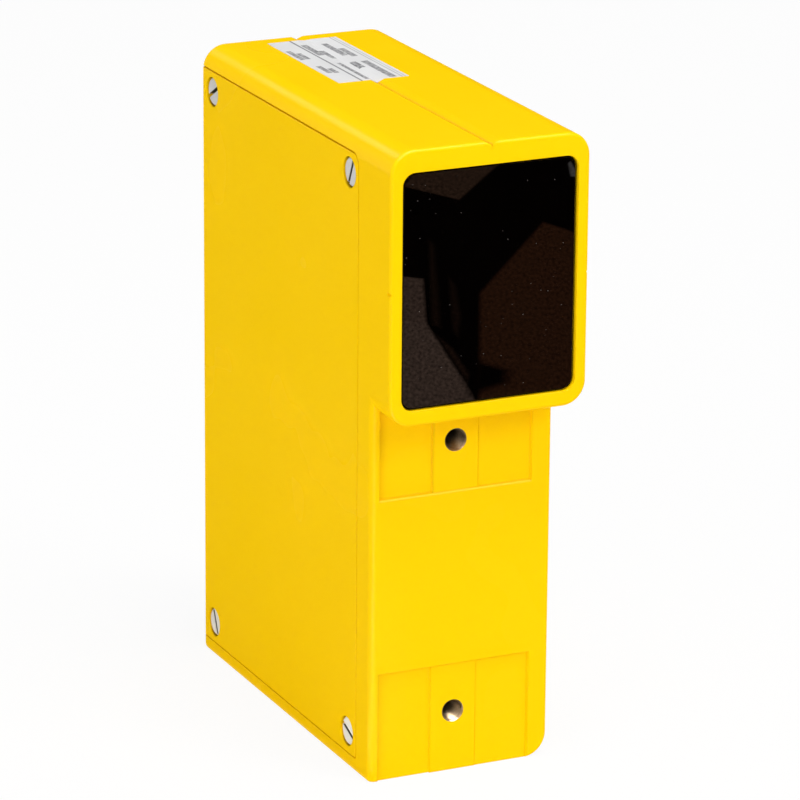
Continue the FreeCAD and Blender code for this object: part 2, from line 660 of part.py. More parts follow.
def cut_front_recesses(body):
    """Two shallow recesses round the mounting holes, with a higher strip down the middle."""
    low = ("-wall", "lower_recess_height")
    high = ("hood_underside - upper_recess_height", "hood_underside + wall")
    steps = [("strip", "strip_depth", ("recess_left", "recess_right")),
             ("left", "recess_depth", ("recess_left", "strip_left")),
             ("right", "right_recess_depth", ("strip_right", "recess_right"))]
    for step, depth, span in steps:
        for name, heights in (("lower", low), ("upper", high)):
            feature = pocket(body, "%s_%s_recess" % (name, step), "XZ", "hood_reach", depth,
                             rectangle(*span, *heights))
            bind(feature, "TaperAngle", "-recess_slope")
    front, sill = value("hood_reach"), value(high[0])
    round_edges(body, "upper_recess_sill", "recess_sill",
                lambda box: near(box.YMin, front) and near(box.YMax, front)
                and near(box.ZMin, sill) and near(box.ZMax, sill), "Chamfer")


def add_bosses(body):
    pad(body, "cover_bosses", "YZ", "rebate_depth", "screw_boss_end - rebate_depth",
        *boss_outlines("cover_front", "housing_depth - wall / 2", "wall / 2",
                       "housing_height - wall / 2"))
    pad(body, "mount_bosses", "XZ", "hood_reach + wall / 2",
        "mount_depth + hole_end_wall - wall / 2",
        *[circle("mount_x", z, "mount_radius + mount_boss_wall") for z in ("mount_low", "mount_high")])
    pad(body, "optics_bosses", "YZ", "optics_boss_x", "head_width - wall / 2 - optics_boss_x",
        *[circle(y, z, "small_boss_radius") for y, z in optics_corners()])
    pad(body, "board_bosses", "YZ", "board_right", "body_width - wall / 2 - board_right",
        *[circle(y, z, "small_boss_radius") for y, z in board_corners()])
    pad(body, "earth_boss", "YZ", "earth_boss_x", "head_width - wall / 2 - earth_boss_x",
        circle("earth_y", "axis_z", "earth_boss_radius"))


def drill_holes(body):
    pocket(body, "cover_screw_holes", "YZ", "rebate_depth", "cover_hole_end - rebate_depth",
           *[circle(y, z, "cover_screw_radius + thread_play") for name, y, z in screw_corners()])
    pocket(body, "optics_holes", "YZ", "optics_boss_x",
           "small_screw_length - plate_thickness + hole_end_gap / 2",
           *[circle(y, z, "small_hole_radius") for y, z in optics_corners()])
    pocket(body, "board_holes", "YZ", "board_right",
           "small_screw_length - board_thickness + hole_end_gap",
           *[circle(y, z, "small_hole_radius") for y, z in board_corners()])
    pocket(body, "earth_hole", "YZ", "earth_boss_x",
           "earth_screw_length - earth_washer_thickness + hole_end_gap",
           circle("earth_y", "axis_z", "earth_screw_radius + thread_play"))
    pocket(body, "gland_hole", "XZ", "back_inside - wall", "3 * wall",
           circle("gland_x", "gland_up", "gland_hole_radius"))
    pocket(body, "mount_holes", "XZ", "hood_reach", "mount_depth",
           *[circle("mount_x", z, "mount_radius") for z in ("mount_low", "mount_high")])
    mouth = value("hood_reach + strip_depth")
    wide = 2 * value("mount_radius")
    round_edges(body, "mount_mouths", "mount_chamfer",
                lambda box: near(box.YMin, mouth) and near(box.YMax, mouth)
                and near(box.XLength, wide) and near(box.ZLength, wide), "Chamfer")


def make_side_cover():
    """Plate that lies flush in the left side, with counterbored screw holes and an inner rib."""
    body = new_body("side_cover")
    pad(body, "plate", "YZ", "0", "cover_thickness",
        rectangle("cover_front + seam_gap", "housing_depth", "cover_low + foot_seam_gap",
                  "cover_top - seam_gap",
                  ("cover_foot_corner", None, None, "cover_corner - seam_gap")))
    back = value("housing_depth")
    round_edges(body, "back_edge", "back_edge_radius",
                lambda box: near(box.XMax, 0) and near(box.YMin, back))
    round_edges(body, "seam_edges", "cover_edge_radius",
                lambda box: near(box.XMax, 0) and box.YMin < back - value("cover_corner")
                or near(box.XMax, 0) and box.YMax < value("cover_front + cover_corner") + TOLERANCE)
    pad(body, "rib", "YZ", "cover_thickness", "rib_height",
        rectangle("cover_front + rib_inset", "housing_depth - rib_inset",
                  "cover_low + rib_inset", "cover_top - rib_inset"),
        rectangle("cover_front + rib_inset + rib_width", "housing_depth - rib_inset - rib_width",
                  "cover_low + rib_inset + rib_width", "cover_top - rib_inset - rib_width"))
    pocket(body, "screw_holes", "YZ", "0", "cover_thickness",
           *[circle(y, z, "cover_screw_radius + hole_play") for name, y, z in screw_corners()])
    pocket(body, "counterbores", "YZ", "0", "counterbore_depth",
           *[circle(y, z, "cover_screw_head_radius + counterbore_gap")
             for name, y, z in screw_corners()])
    place(body, "0", "0", "0")


def make_cover_gasket():
    """Flat ring under the cover, wider at the four screws that pass through it."""
    body = new_body("cover_gasket")
    edges = ("cover_front + gasket_margin", "housing_depth - gasket_margin",
             "cover_low + gasket_margin", "cover_top - gasket_margin")
    pad(body, "ring", "YZ", "cover_thickness", "gasket_thickness", rectangle(*edges),
        rectangle("cover_front + ledge_width", "housing_depth - back_ledge_width",
                  "cover_low + ledge_width", "cover_top - ledge_width"))
    pad(body, "lands", "YZ", "cover_thickness", "gasket_thickness", *boss_outlines(*edges))
    front, top = value(edges[0]), value(edges[3])
    round_edges(body, "upper_corner", "cover_corner",
                lambda box: near(box.YMax, front) and near(box.YMin, front)
                and near(box.ZMax, top) and near(box.ZMin, top))
    pocket(body, "screw_holes", "YZ", "cover_thickness", "gasket_thickness",
           *[circle(y, z, "cover_screw_radius + hole_play") for name, y, z in screw_corners()])
    place(body, "0", "0", "0")


def make_window():
    """Filter pane in the head's front, and the frame-shaped seal that it is pressed on."""
    edges = ("window_left + pane_gap", "window_right - pane_gap",
             "window_low + pane_gap", "window_high - pane_gap")
    corners = ("window_corner - pane_gap",) * 4
    pane = new_body("window_pane")
    pad(pane, "sheet", "XZ", "pane_setback", "pane_thickness", rectangle(*edges, corners))
    front = value("pane_setback")
    round_edges(pane, "front_bevel", "pane_chamfer", lambda box: near(box.YMax, front), "Chamfer")
    place(pane, "0", "0", "0")
    seal = new_body("window_seal")
    inner = [text + " %s seal_width" % sign for text, sign in zip(edges, "+-+-")]
    pad(seal, "frame", "XZ", "pane_setback + pane_thickness", "seal_thickness",
        rectangle(*edges, corners), rectangle(*inner, ("window_corner",) * 4))
    place(seal, "0", "0", "0")


def make_screw_form(kind):
    """One slotted screw of a kind: its axis on Z, the underside of its head at zero."""
    body = new_body(kind + "_form", is_node=False)
    head, height = kind + "_head_radius", kind + "_head_height"
    shank, length = kind + "_radius", kind + "_length"
    bevel = "%s * 0.12" % height
    turn(body, "blank", [("0", "-" + length), ("%s - %s" % (shank, bevel), "-" + length),
                         (shank, "-%s + %s" % (length, bevel)), (shank, "0"), (head, "0"),
                         (head, "%s - %s" % (height, bevel)),
                         ("%s - %s" % (head, bevel), height), ("0", height)])
    half = "%s_slot_width / 2" % kind
    pocket(body, "slot", "XY", "%s - %s_slot_depth" % (height, kind), "%s_slot_depth" % kind,
           rectangle("-" + head, head, "-" + half, half))
    doc.recompute()
    return body


def copies(label, form, places):
    """One node that groups a copy of a form at each place."""
    node = doc.addObject("Part::Feature", label)
    node.Label = label
    shapes = []
    for each in places:
        shape = form.Shape.copy()
        shape.Placement = each
        shapes.append(shape)
    node.Shape = Part.makeCompound(shapes)
    NODES.append(node)


def make_screws():
    """The screw groups: cover, optics, main board, emitter board, terminals and earth."""
    copies("cover_screws", make_screw_form("cover_screw"),
           [spot("counterbore_depth", y, z, "left", SLOT_ANGLES[name])
            for name, y, z in screw_corners()])
    small = make_screw_form("small_screw")
    copies("optics_screws", small,
           [spot("optics_screw_x", y, z, "left") for y, z in optics_corners()])
    copies("board_screws", small, [spot("board_left", y, z, "left") for y, z in board_corners()])
    copies("emitter_board_screws", make_screw_form("tiny_screw"),
           [spot("axis_x %s emitter_screw_offset" % sign, "tube_back + board_thickness", "axis_z",
                 "back") for sign in "+-"])
    copies("terminal_screws", make_screw_form("terminal_screw"),
           [spot("terminal_left + terminal_well_depth - terminal_screw_length", y,
                 "terminal_base + terminal_height / 2", "left") for y in terminal_places()])
    copies("earth_screw", make_screw_form("earth_screw"),
           [spot("earth_boss_x - earth_washer_thickness", "earth_y", "axis_z", "left")])


def make_optics():
    """Lens, its tube with side plate and web, the ring that holds it, and the aperture plate."""
    tube = new_body("lens_tube")
    turn(tube, "outside", [("0", "0"), ("tail_radius", "0"), ("tail_radius", "tail_thickness"),
                           ("neck_radius", "tube_length - tube_head_length"),
                           ("tube_head_radius", "tube_length - tube_head_length"),
                           ("tube_head_radius", "tube_length"), ("0", "tube_length")])
    pad(tube, "side_plate", "XY", "plate_start", "plate_length",
        rectangle("neck_radius", "plate_right", "plate_low - axis_z", "plate_high - axis_z"))
    pad(tube, "web", "XY", "plate_start", "plate_length",
        rectangle("tail_opening", "neck_radius", "-web_height / 2", "web_height / 2"))
    turn(tube, "inside", [("0", "0"), ("led_bore", "0"), ("led_bore", "tail_thickness"),
                          ("tail_opening", "tail_thickness"),
                          ("lens_opening", "tube_length - lens_seat_depth"),
                          ("lens_bore", "tube_length - lens_seat_depth"),
                          ("lens_bore", "tube_length"), ("0", "tube_length")], "Groove")
    heights = ["optics_screw_low - axis_z", "optics_screw_high - axis_z"]
    depths = ["plate_start + plate_screw_inset", "plate_end - plate_screw_inset"]
    pocket(tube, "plate_holes", "YZ", "neck_radius", "plate_thickness",
           *[circle(y, z, "small_screw_radius + hole_play") for y in heights for z in depths])
    pocket(tube, "tail_holes", "XY", "0", "tiny_screw_length - board_thickness",
           *[circle("%semitter_screw_offset" % sign, "0", "tiny_screw_radius + thread_play")
             for sign in ("-", "")])
    place(tube, "axis_x", "tube_back", "axis_z", "front")
    make_lens()
    ring = new_body("lens_ring")
    inner, outer = "lens_face_radius + hole_play", "lens_bore - ring_play"
    turn(ring, "band", [(inner, "0"), (outer, "0"), (outer, "ring_thickness"),
                        (inner, "ring_thickness")])
    place(ring, "axis_x", "tube_front + lens_seat_depth - lens_edge", "axis_z", "front")
    plate = new_body("aperture_plate")
    rim = "tail_opening - aperture_play"
    turn(plate, "disc", [("aperture_radius", "0"), (rim, "0"), (rim, "aperture_thickness"),
                         ("aperture_radius", "aperture_thickness")])
    place(plate, "axis_x", "tube_back - tail_thickness", "axis_z", "front")


def make_lens():
    """Plano-convex lens with a flat rim: a rim disc and a cap cut from a ball."""
    label = "lens"
    rim = doc.addObject("Part::Cylinder", "lens_rim_disc")
    bind(rim, "Radius", "lens_radius")
    bind(rim, "Height", "lens_edge")
    ball_radius = "(lens_face_radius ^ 2 + lens_bulge ^ 2) / (2 * lens_bulge)"
    ball = doc.addObject("Part::Sphere", "lens_ball")
    bind(ball, "Radius", ball_radius)
    bind(ball, "Placement.Base.z", "lens_edge + lens_bulge - " + ball_radius)
    column = doc.addObject("Part::Cylinder", "lens_column")
    bind(column, "Radius", "lens_radius")
    bind(column, "Height", "lens_edge + 2 * lens_bulge")
    cap = doc.addObject("Part::Common", "lens_cap")
    cap.Base, cap.Tool = ball, column
    lens = doc.addObject("Part::Fuse", label)
    lens.Base, lens.Tool = rim, cap
    lens.Refine = True
    lens.Label = label
    NODES.append(lens)
    place(lens, "axis_x", "tube_front + lens_seat_depth", "axis_z", "front")


def make_emitter():
    """Emitter in its can, and the small board that it stands on."""
    led = new_body("emitter_led")
    can_top = "led_flange_height + led_height"
    bevel = "led_flange_height / 2"
    turn(led, "can", [("0", "0"), ("led_flange_radius", "0"),
                      ("led_flange_radius", "led_flange_height"), ("led_radius", "led_flange_height"),
                      ("led_radius", "%s - %s" % (can_top, bevel)),
                      ("led_radius - %s" % bevel, can_top), ("0", can_top)])
    place(led, "axis_x", "tube_back", "axis_z", "front")
    board = new_body("emitter_board")
    half = "emitter_board_side / 2"
    pad(board, "sheet", "XZ", "tube_back", "board_thickness",
        rectangle("axis_x - " + half, "axis_x + " + half, "axis_z - " + half, "axis_z + " + half))
    pocket(board, "screw_holes", "XZ", "tube_back", "board_thickness",
           *[circle("axis_x %s emitter_screw_offset" % sign, "axis_z",
                    "tiny_screw_radius + hole_play") for sign in "+-"])
    place(board, "0", "0", "0")


def make_main_board():
    body = new_body("main_board")
    pad(body, "sheet", "YZ", "board_left", "board_thickness",
        rectangle("board_front", "board_back", "board_low", "board_high"))
    pocket(body, "screw_holes", "YZ", "board_left", "board_thickness",
           *[circle(y, z, "small_screw_radius + hole_play") for y, z in board_corners()])
    place(body, "0", "0", "0")


def terminal_places():
    """Middle of each terminal along the block."""
    return ["terminal_start + terminal_pitch * %s" % (index + 0.5)
            for index in range(int(value("terminal_count")))]


def make_terminal_block():
    """Block with a screw well and a wire opening for each terminal."""
    body = new_body("terminal_block")
    top = "terminal_base + terminal_height"
    pad(body, "block", "XZ", "terminal_start", "terminal_end - terminal_start",
        polygon([("terminal_left", "terminal_base"), ("board_left", "terminal_base"),
                 ("board_left", top), ("terminal_left + terminal_bevel", top),
                 ("terminal_left", "%s - terminal_bevel" % top)]))
    pocket(body, "screw_wells", "YZ", "terminal_left", "terminal_well_depth",
           *[circle(y, "terminal_base + terminal_height / 2", "terminal_well_radius")
             for y in terminal_places()])
    half = "terminal_mouth / 2"
    middle = "(terminal_left + terminal_well_depth + board_left) / 2"
    pocket(body, "wire_openings", "XY", "terminal_base", "terminal_mouth_depth",
           *[rectangle("%s - %s" % (middle, half), "%s + %s" % (middle, half),
                       "%s - %s" % (y, half), "%s + %s" % (y, half)) for y in terminal_places()])
    place(body, "0", "0", "0")


def make_board_parts():
    """What stands on the main board: capacitors, choke, chips and regulator."""
    form = new_body("capacitor_form", is_node=False)
    low, high = "capacitor_height * 0.12", "capacitor_height * 0.2"
    turn(form, "can", [("0", "0"), ("capacitor_radius", "0"), ("capacitor_radius", low),
                       ("capacitor_radius - capacitor_groove", "(%s + %s) / 2" % (low, high)),
                       ("capacitor_radius", high),
                       ("capacitor_radius", "capacitor_height - capacitor_bevel"),
                       ("capacitor_radius - capacitor_bevel", "capacitor_height"),
                       ("0", "capacitor_height")])
    doc.recompute()
    copies("capacitors", form,
           [spot("board_left", "board_front + capacitor_along",
                 "board_low + capacitor_up + capacitor_spacing * %d" % index, "left")
            for index in range(2)])
    choke = new_body("choke")
    top = "choke_height - choke_flange"
    turn(choke, "drum", [("0", "0"), ("choke_radius", "0"), ("choke_radius", "choke_flange"),
                         ("choke_winding_radius", "choke_flange"), ("choke_winding_radius", top),
                         ("choke_radius", top), ("choke_radius", "choke_height"),
                         ("0", "choke_height")])
    place(choke, "board_left", "board_front + choke_along", "board_low + choke_up", "left")
    chip = new_body("chip_form", is_node=False)
    pad(chip, "case", "XY", "0", "chip_height",
        rectangle("0", "chip_length", "0", "chip_width"))
    pocket(chip, "mark", "XY", "chip_height / 2", "chip_height / 2",
           circle("0", "chip_width / 2", "chip_notch"))
    doc.recompute()
    copies("logic_chips", chip,
           [spot("board_left", "board_front + chip_along + chip_pitch * %d" % index,
                 "board_low + chip_up", "left") for index in range(int(value("chip_count")))])
    regulator = new_body("regulator")
    start, low = "board_front + regulator_along", "board_low + regulator_up"
    end, middle = start + " + regulator_width", low + " + regulator_length"
    pad(regulator, "case", "YZ", "board_left - regulator_height", "regulator_height",
        rectangle(start, end, low, middle))
    pad(regulator, "tab", "YZ", "board_left - regulator_tab_thickness", "regulator_tab_thickness",
        rectangle(start, end, middle, middle + " + regulator_tab"))
    pocket(regulator, "tab_hole", "YZ", "board_left - regulator_tab_thickness",
           "regulator_tab_thickness", circle(start + " + regulator_width / 2",
                                             middle + " + regulator_tab / 2",
                                             "regulator_hole_radius"))
    place(regulator, "0", "0", "0")


def make_emitter_lead():
    """Lead between the boards, straight out of each plug, with two equal bends, and the plugs."""
    form = new_body("plug_form", is_node=False)
    pad(form, "case", "XY", "0", "plug_height",
        rectangle("-plug_depth / 2", "plug_depth / 2", "-plug_width / 2", "plug_width / 2"))
    round_edges(form, "case_edges", "lead_radius / 2",
                lambda box: near(box.ZLength, value("plug_height")))
    doc.recompute()
    low = spot("main_plug_x", "lead_y", "main_plug_top - plug_height")
    high = spot("axis_x", "lead_y", "emitter_plug_base")
    high.Rotation = FreeCAD.Rotation(VECTOR(0, 0, 1), 90)
    copies("emitter_plugs", form, [low, high])
    start = low.Base + VECTOR(0, 0, value("plug_height"))
    end = high.Base
    straight = VECTOR(0, 0, value("lead_straight"))
    path = bent_path([start, start + straight, end - straight, end], value("lead_bend_radius"))
    lead = doc.addObject("Part::Feature", "emitter_lead")
    lead.Label = "emitter_lead"
    lead.Shape = round_along(path, value("lead_radius"))
    NODES.append(lead)
    area = math.pi * value("lead_radius") ** 2
    if abs(lead.Shape.Volume / (area * path.Length) - 1) > 0.01:
        raise RuntimeError("the lead's volume doesn't match its length")


def round_along(path, radius):
    """Solid of round section along a wire of straight runs and arcs."""
    solids = []
    for edge in path.OrderedEdges:
        begin = edge.valueAt(edge.FirstParameter)
        along = edge.tangentAt(edge.FirstParameter)
        if edge.Curve.TypeId == "Part::GeomLine":
            solids.append(Part.makeCylinder(radius, edge.Length, begin, along))
            continue
        disc = Part.Face(Part.Wire(Part.Circle(begin, along, radius).toShape()))
        angle = math.degrees(edge.LastParameter - edge.FirstParameter)
        solids.append(disc.revolve(edge.Curve.Center, edge.Curve.Axis, angle))
    return solids[0].multiFuse(solids[1:]).removeSplitter()


def bent_path(points, radius):
    """Wire of straight runs joined by arcs that are tangent to them."""
    edges = []
    here = points[0]
    for before, corner, after in zip(points, points[1:], points[2:]):
        back = (before - corner).normalize()
        ahead = (after - corner).normalize()
        half_turn = (math.pi - back.getAngle(ahead)) / 2
        reach = radius * math.tan(half_turn)
        first = corner + back * reach
        last = corner + ahead * reach
        inward = (back + ahead).normalize()
        middle = corner + inward * (radius / math.cos(half_turn) - radius)
        edges.append(Part.LineSegment(here, first).toShape())
        edges.append(Part.Arc(first, middle, last).toShape())
        here = last
    edges.append(Part.LineSegment(here, points[-1]).toShape())
    return Part.Wire(edges)


def make_earth_washer():
    washer = new_body("earth_washer")
    pad(washer, "disc", "YZ", "earth_boss_x - earth_washer_thickness", "earth_washer_thickness",
        circle("earth_y", "axis_z", "earth_washer_radius"),
        circle("earth_y", "axis_z", "earth_screw_radius + hole_play"))
    place(washer, "0", "0", "0")


def bevel_hexagon(body, name, low, high):
    """Turn the corners of a hexagon off to a cone at both ends."""
    far = "gland_corner * 2"
    round_off = "gland_corner - gland_chamfer"
    for end, z, into in (("low", low, "+"), ("high", high, "-")):
        out = "-" if into == "+" else "+"
        turn(body, "%s_%s_bevel" % (name, end),
             [(round_off, z), (far, "%s %s (gland_corner + gland_chamfer) / 2" % (z, into)),
              (far, "%s %s gland_chamfer" % (z, out)), (round_off, "%s %s gland_chamfer" % (z, out))],
             "Groove")


def make_gland():
    """Cable gland in the lower back wall: body, flat seal, lock nut, cable seal and domed nut."""
    spot_back = ("gland_x", "housing_depth", "gland_up", "back")
    body = new_body("gland_body")
    turn(body, "stem", [("gland_bore_radius", "-gland_thread_length"),
                        ("gland_thread_radius", "-gland_thread_length"),
                        ("gland_thread_radius", "gland_hex_top"),
                        ("gland_neck_radius", "gland_hex_top"),
                        ("gland_neck_radius", "gland_neck_top"),
                        ("gland_pocket_radius", "gland_neck_top"),
                        ("gland_pocket_radius", "o_ring_thickness"),
                        ("gland_bore_radius", "o_ring_thickness")])
    pad(body, "hexagon", "XY", "o_ring_thickness", "gland_hex_height",
        hexagon("gland_corner"), circle("0", "0", "gland_neck_radius - gland_wall / 2"))
    bevel_hexagon(body, "hexagon", "o_ring_thickness", "gland_hex_top")
    place(body, *spot_back)

    ring = new_body("gland_o_ring")
    inner = "gland_hole_radius"
    outer = "gland_hole_radius + o_ring_width"
    turn(ring, "band", [(inner, "0"), (outer, "0"), (outer, "o_ring_thickness"),
                        (inner, "o_ring_thickness")])
    place(ring, *spot_back)

    nut = new_body("gland_locknut")
    pad(nut, "hexagon", "XY", "-wall - locknut_height", "locknut_height", hexagon("gland_corner"),
        circle("0", "0", "gland_hole_radius"))
    bevel_hexagon(nut, "hexagon", "-wall - locknut_height", "-wall")
    place(nut, *spot_back)

    seal = new_body("gland_seal")
    outer = "gland_pocket_radius - thread_play"
    turn(seal, "sleeve", [("seal_bore_radius", "o_ring_thickness"), (outer, "o_ring_thickness"),
                          (outer, "gland_seal_top"), ("seal_bore_radius", "gland_seal_top")])
    place(seal, *spot_back)

    dome = new_body("gland_nut")
    pad(dome, "hexagon", "XY", "gland_nut_base", "gland_nut_height", hexagon("gland_corner"))
    shoulder = "gland_nut_top - gland_dome_height"
    far = "gland_corner * 2"
    waist = "gland_flats / 2"
    turn(dome, "dome", [("gland_mouth_radius + gland_lip", "gland_nut_top"),
                        (waist + " - gland_chamfer", shoulder + " + gland_dome_height / 3"),
                        ("gland_corner", shoulder), (far, shoulder), (far, "gland_nut_top + 1"),
                        ("gland_mouth_radius + gland_lip", "gland_nut_top + 1")], "Groove")
    turn(dome, "thread_bore", [("0", "gland_nut_base - 1"),
                               ("gland_neck_radius + thread_play", "gland_nut_base - 1"),
                               ("gland_neck_radius + thread_play", "gland_seal_top"),
                               ("gland_mouth_radius", "gland_seal_top"),
                               ("gland_mouth_radius", "gland_nut_top + 1"),
                               ("0", "gland_nut_top + 1")], "Groove")
    place(dome, *spot_back)


def check_model():
    """Stop if a feature failed, cut nothing, or left a piece without a valid solid."""
    for thing in doc.Objects:
        if {"Invalid", "Error"} & set(thing.State):
            raise RuntimeError("%s failed: %s" % (thing.Name, thing.State))
        if thing.TypeId in ("PartDesign::Pocket", "PartDesign::Groove"):
            if thing.BaseFeature.Shape.Volume - thing.Shape.Volume < TOLERANCE:
                raise RuntimeError("%s cuts nothing" % thing.Name)
    for node in NODES:
        shape = node.Shape
        if shape.isNull() or not shape.isValid() or not shape.Solids:
            raise RuntimeError("%s has no valid solid" % node.Label)


def write_parts():
    os.makedirs("parts", exist_ok=True)
    for node in NODES:
        node.Shape.exportStep("parts/%s.step" % node.Label)


make_housing()
make_side_cover()
make_cover_gasket()
make_window()
make_optics()
make_emitter()
make_main_board()
make_terminal_block()
make_board_parts()
make_emitter_lead()
make_earth_washer()
make_screws()
make_gland()
doc.recompute()
check_model()
write_parts()
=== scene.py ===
"""Looks of the safety light barrier: paint, pane, metals, label, threads, and a plain pale stage.

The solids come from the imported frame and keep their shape. This script gives each of them its
finish, adds the label and the screw threads, and sets up floor, lamps, cards and camera.
"""
import math
from functools import reduce

import bpy
from bpy.props import FloatProperty, FloatVectorProperty, IntProperty, PointerProperty
from mathutils import Matrix, Vector


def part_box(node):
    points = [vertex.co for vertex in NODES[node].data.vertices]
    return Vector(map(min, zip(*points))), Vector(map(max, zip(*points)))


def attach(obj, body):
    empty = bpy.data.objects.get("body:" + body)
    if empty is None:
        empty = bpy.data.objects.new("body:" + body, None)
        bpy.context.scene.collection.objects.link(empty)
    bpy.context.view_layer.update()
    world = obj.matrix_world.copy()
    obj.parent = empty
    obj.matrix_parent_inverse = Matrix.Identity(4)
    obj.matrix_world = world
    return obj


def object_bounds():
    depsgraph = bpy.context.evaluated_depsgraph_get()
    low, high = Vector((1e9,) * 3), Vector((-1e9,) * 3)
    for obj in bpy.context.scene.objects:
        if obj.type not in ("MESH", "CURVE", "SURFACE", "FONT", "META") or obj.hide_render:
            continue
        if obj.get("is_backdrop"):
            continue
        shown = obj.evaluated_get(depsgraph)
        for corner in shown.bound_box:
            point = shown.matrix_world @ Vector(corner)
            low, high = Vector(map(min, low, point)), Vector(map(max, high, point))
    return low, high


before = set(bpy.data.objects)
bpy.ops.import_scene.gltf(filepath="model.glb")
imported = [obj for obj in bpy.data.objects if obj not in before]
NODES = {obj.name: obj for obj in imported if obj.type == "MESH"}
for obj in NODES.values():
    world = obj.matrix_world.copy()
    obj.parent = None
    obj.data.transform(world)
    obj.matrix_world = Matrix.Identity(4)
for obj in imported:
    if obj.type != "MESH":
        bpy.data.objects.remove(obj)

bl_info = {
    "name": "Light barrier finish",
    "version": (1, 0, 0),
    "blender": (4, 5, 0),
    "location": "View3D > Sidebar > Light barrier",
    "description": "Finishes, label, threads and stage of a safety light barrier",
    "category": "Object",
}

CAD_LOW, CAD_HIGH = (tuple(corner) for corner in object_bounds())
MM = 0.001
BODY = "root"
# Gap under the label, and how near counts as the same place
CLOSE = 0.01 * MM
# Places across, from the middle of the base: the lower front's middle and the groove's
FRONT_MIDDLE = -1.45 * MM
GROOVE_MIDDLE = 2.0 * MM


class PaintSettings(bpy.types.PropertyGroup):
    """Paint of the housing and its cover."""
    color: FloatVectorProperty(name="Paint", description="Colour of the paint", size=3,
                               subtype="COLOR", min=0, max=1, default=(0.97, 0.60, 0.0005))
    roughness: FloatProperty(name="Roughness", description="Roughness of the paint",
                             subtype="FACTOR", min=0, max=1, default=0.24)
    gloss: FloatProperty(name="Gloss", description="Strength of the paint's reflections",
                         subtype="FACTOR", min=0, max=1, default=0.032)
    grain: FloatProperty(name="Grain", description="Width of the paint's fine grain",
                         unit="LENGTH", default=1.1 * MM)


class LabelSettings(bpy.types.PropertyGroup):
    """Bare label on the top."""
    left: FloatProperty(name="Left edge", description="Left edge of the label",
                        unit="LENGTH", default=-8.25 * MM)
    front: FloatProperty(name="Front edge", description="Front edge of the label",
                         unit="LENGTH", default=2.5 * MM)
    width: FloatProperty(name="Width", description="Width across the groove",
                         unit="LENGTH", default=18.7 * MM)
    length: FloatProperty(name="Length", description="Length along the groove",
                          unit="LENGTH", default=43.7 * MM)
    thickness: FloatProperty(name="Thickness", description="Thickness of the film",
                             unit="LENGTH", default=0.12 * MM)
    groove_middle: FloatProperty(name="Groove", description="Middle of the groove across the top",
                                 unit="LENGTH", default=GROOVE_MIDDLE)
    groove_half: FloatProperty(name="Groove half width", description="Half width of the groove",
                               unit="LENGTH", default=1.8 * MM)
    dip_front: FloatProperty(name="Dip in front", description="Depth of the film's fold in front",
                             unit="LENGTH", default=0.88 * MM)
    dip_back: FloatProperty(name="Dip behind", description="Depth of the film's fold behind",
                            unit="LENGTH", default=0.15 * MM)
    film: FloatVectorProperty(name="Film", description="Colour of the film", size=3,
                              subtype="COLOR", min=0, max=1, default=(0.685, 0.685, 0.69))
    ink: FloatVectorProperty(name="Ink", description="Colour of the printed bars", size=3,
                             subtype="COLOR", min=0, max=1, default=(0.13, 0.13, 0.14))


class ThreadSettings(bpy.types.PropertyGroup):
    """Threads of the two mounting holes."""
    across: FloatProperty(name="Across", description="Holes from the middle of the base",
                          unit="LENGTH", default=FRONT_MIDDLE)
    low: FloatProperty(name="Lower hole", description="Height of the lower hole",
                       unit="LENGTH", default=15.3 * MM)
    high: FloatProperty(name="Upper hole", description="Height of the upper hole",
                        unit="LENGTH", default=84.4 * MM)
    mouth: FloatProperty(name="Mouth", description="Face that the holes open in",
                         unit="LENGTH", default=-51.0 * MM)
    start: FloatProperty(name="Start", description="Mouth to the first turn",
                         unit="LENGTH", default=0.7 * MM)
    radius: FloatProperty(name="Radius", description="Root radius of the thread",
                          unit="LENGTH", default=2.5 * MM)
    ridge: FloatProperty(name="Ridge", description="Height of the thread's ridge",
                         unit="LENGTH", default=0.38 * MM)
    pitch: FloatProperty(name="Pitch", description="Pitch of the thread",
                         unit="LENGTH", default=0.8 * MM)
    turns: IntProperty(name="Turns", description="Turns of the thread", min=1, default=10)


class StageSettings(bpy.types.PropertyGroup):
    """Floor, light from all round and camera."""
    floor: FloatVectorProperty(name="Floor", description="Colour of the floor", size=3,
                               subtype="COLOR", min=0, max=1, default=(0.80, 0.80, 0.80))
    floor_size: FloatProperty(name="Floor size", description="Side of the floor",
                              unit="LENGTH", default=14.0)
    floor_white: FloatProperty(name="Floor white", description="Share of plain white in view",
                               subtype="FACTOR", min=0, max=1, default=0.91)
    sky: FloatProperty(name="Sky", description="Light from all round", min=0, default=0.55)
    lens: FloatProperty(name="Lens", description="Focal length in millimetres", default=222.37)
    yaw: FloatProperty(name="Yaw", description="Camera to the left of the front",
                       subtype="ANGLE", default=math.radians(25.0))
    pitch: FloatProperty(name="Pitch", description="Camera above the level",
                         subtype="ANGLE", default=math.radians(17.8))
    roll: FloatProperty(name="Roll", description="Camera's turn about its own line of sight",
                        subtype="ANGLE", default=math.radians(0.47))
    distance: FloatProperty(name="Distance", description="Camera to the point it looks at",
                            unit="LENGTH", default=1.2223)
    aim: FloatVectorProperty(name="Aim", description="Point that the camera looks at", size=3,
                             subtype="XYZ", unit="LENGTH",
                             default=(5.97 * MM, -3.5 * MM, 79.38 * MM))


def deselect():
    """Leave edit mode and deselect everything."""
    if bpy.context.object and bpy.context.object.mode != "OBJECT":
        bpy.ops.object.mode_set(mode="OBJECT")
    bpy.ops.object.select_all(action="DESELECT")


def name_active(name):
    """Name the piece, card or lamp that was just made, and its data."""
    made = bpy.context.object
    made.name = name
    made.data.name = name
    return made


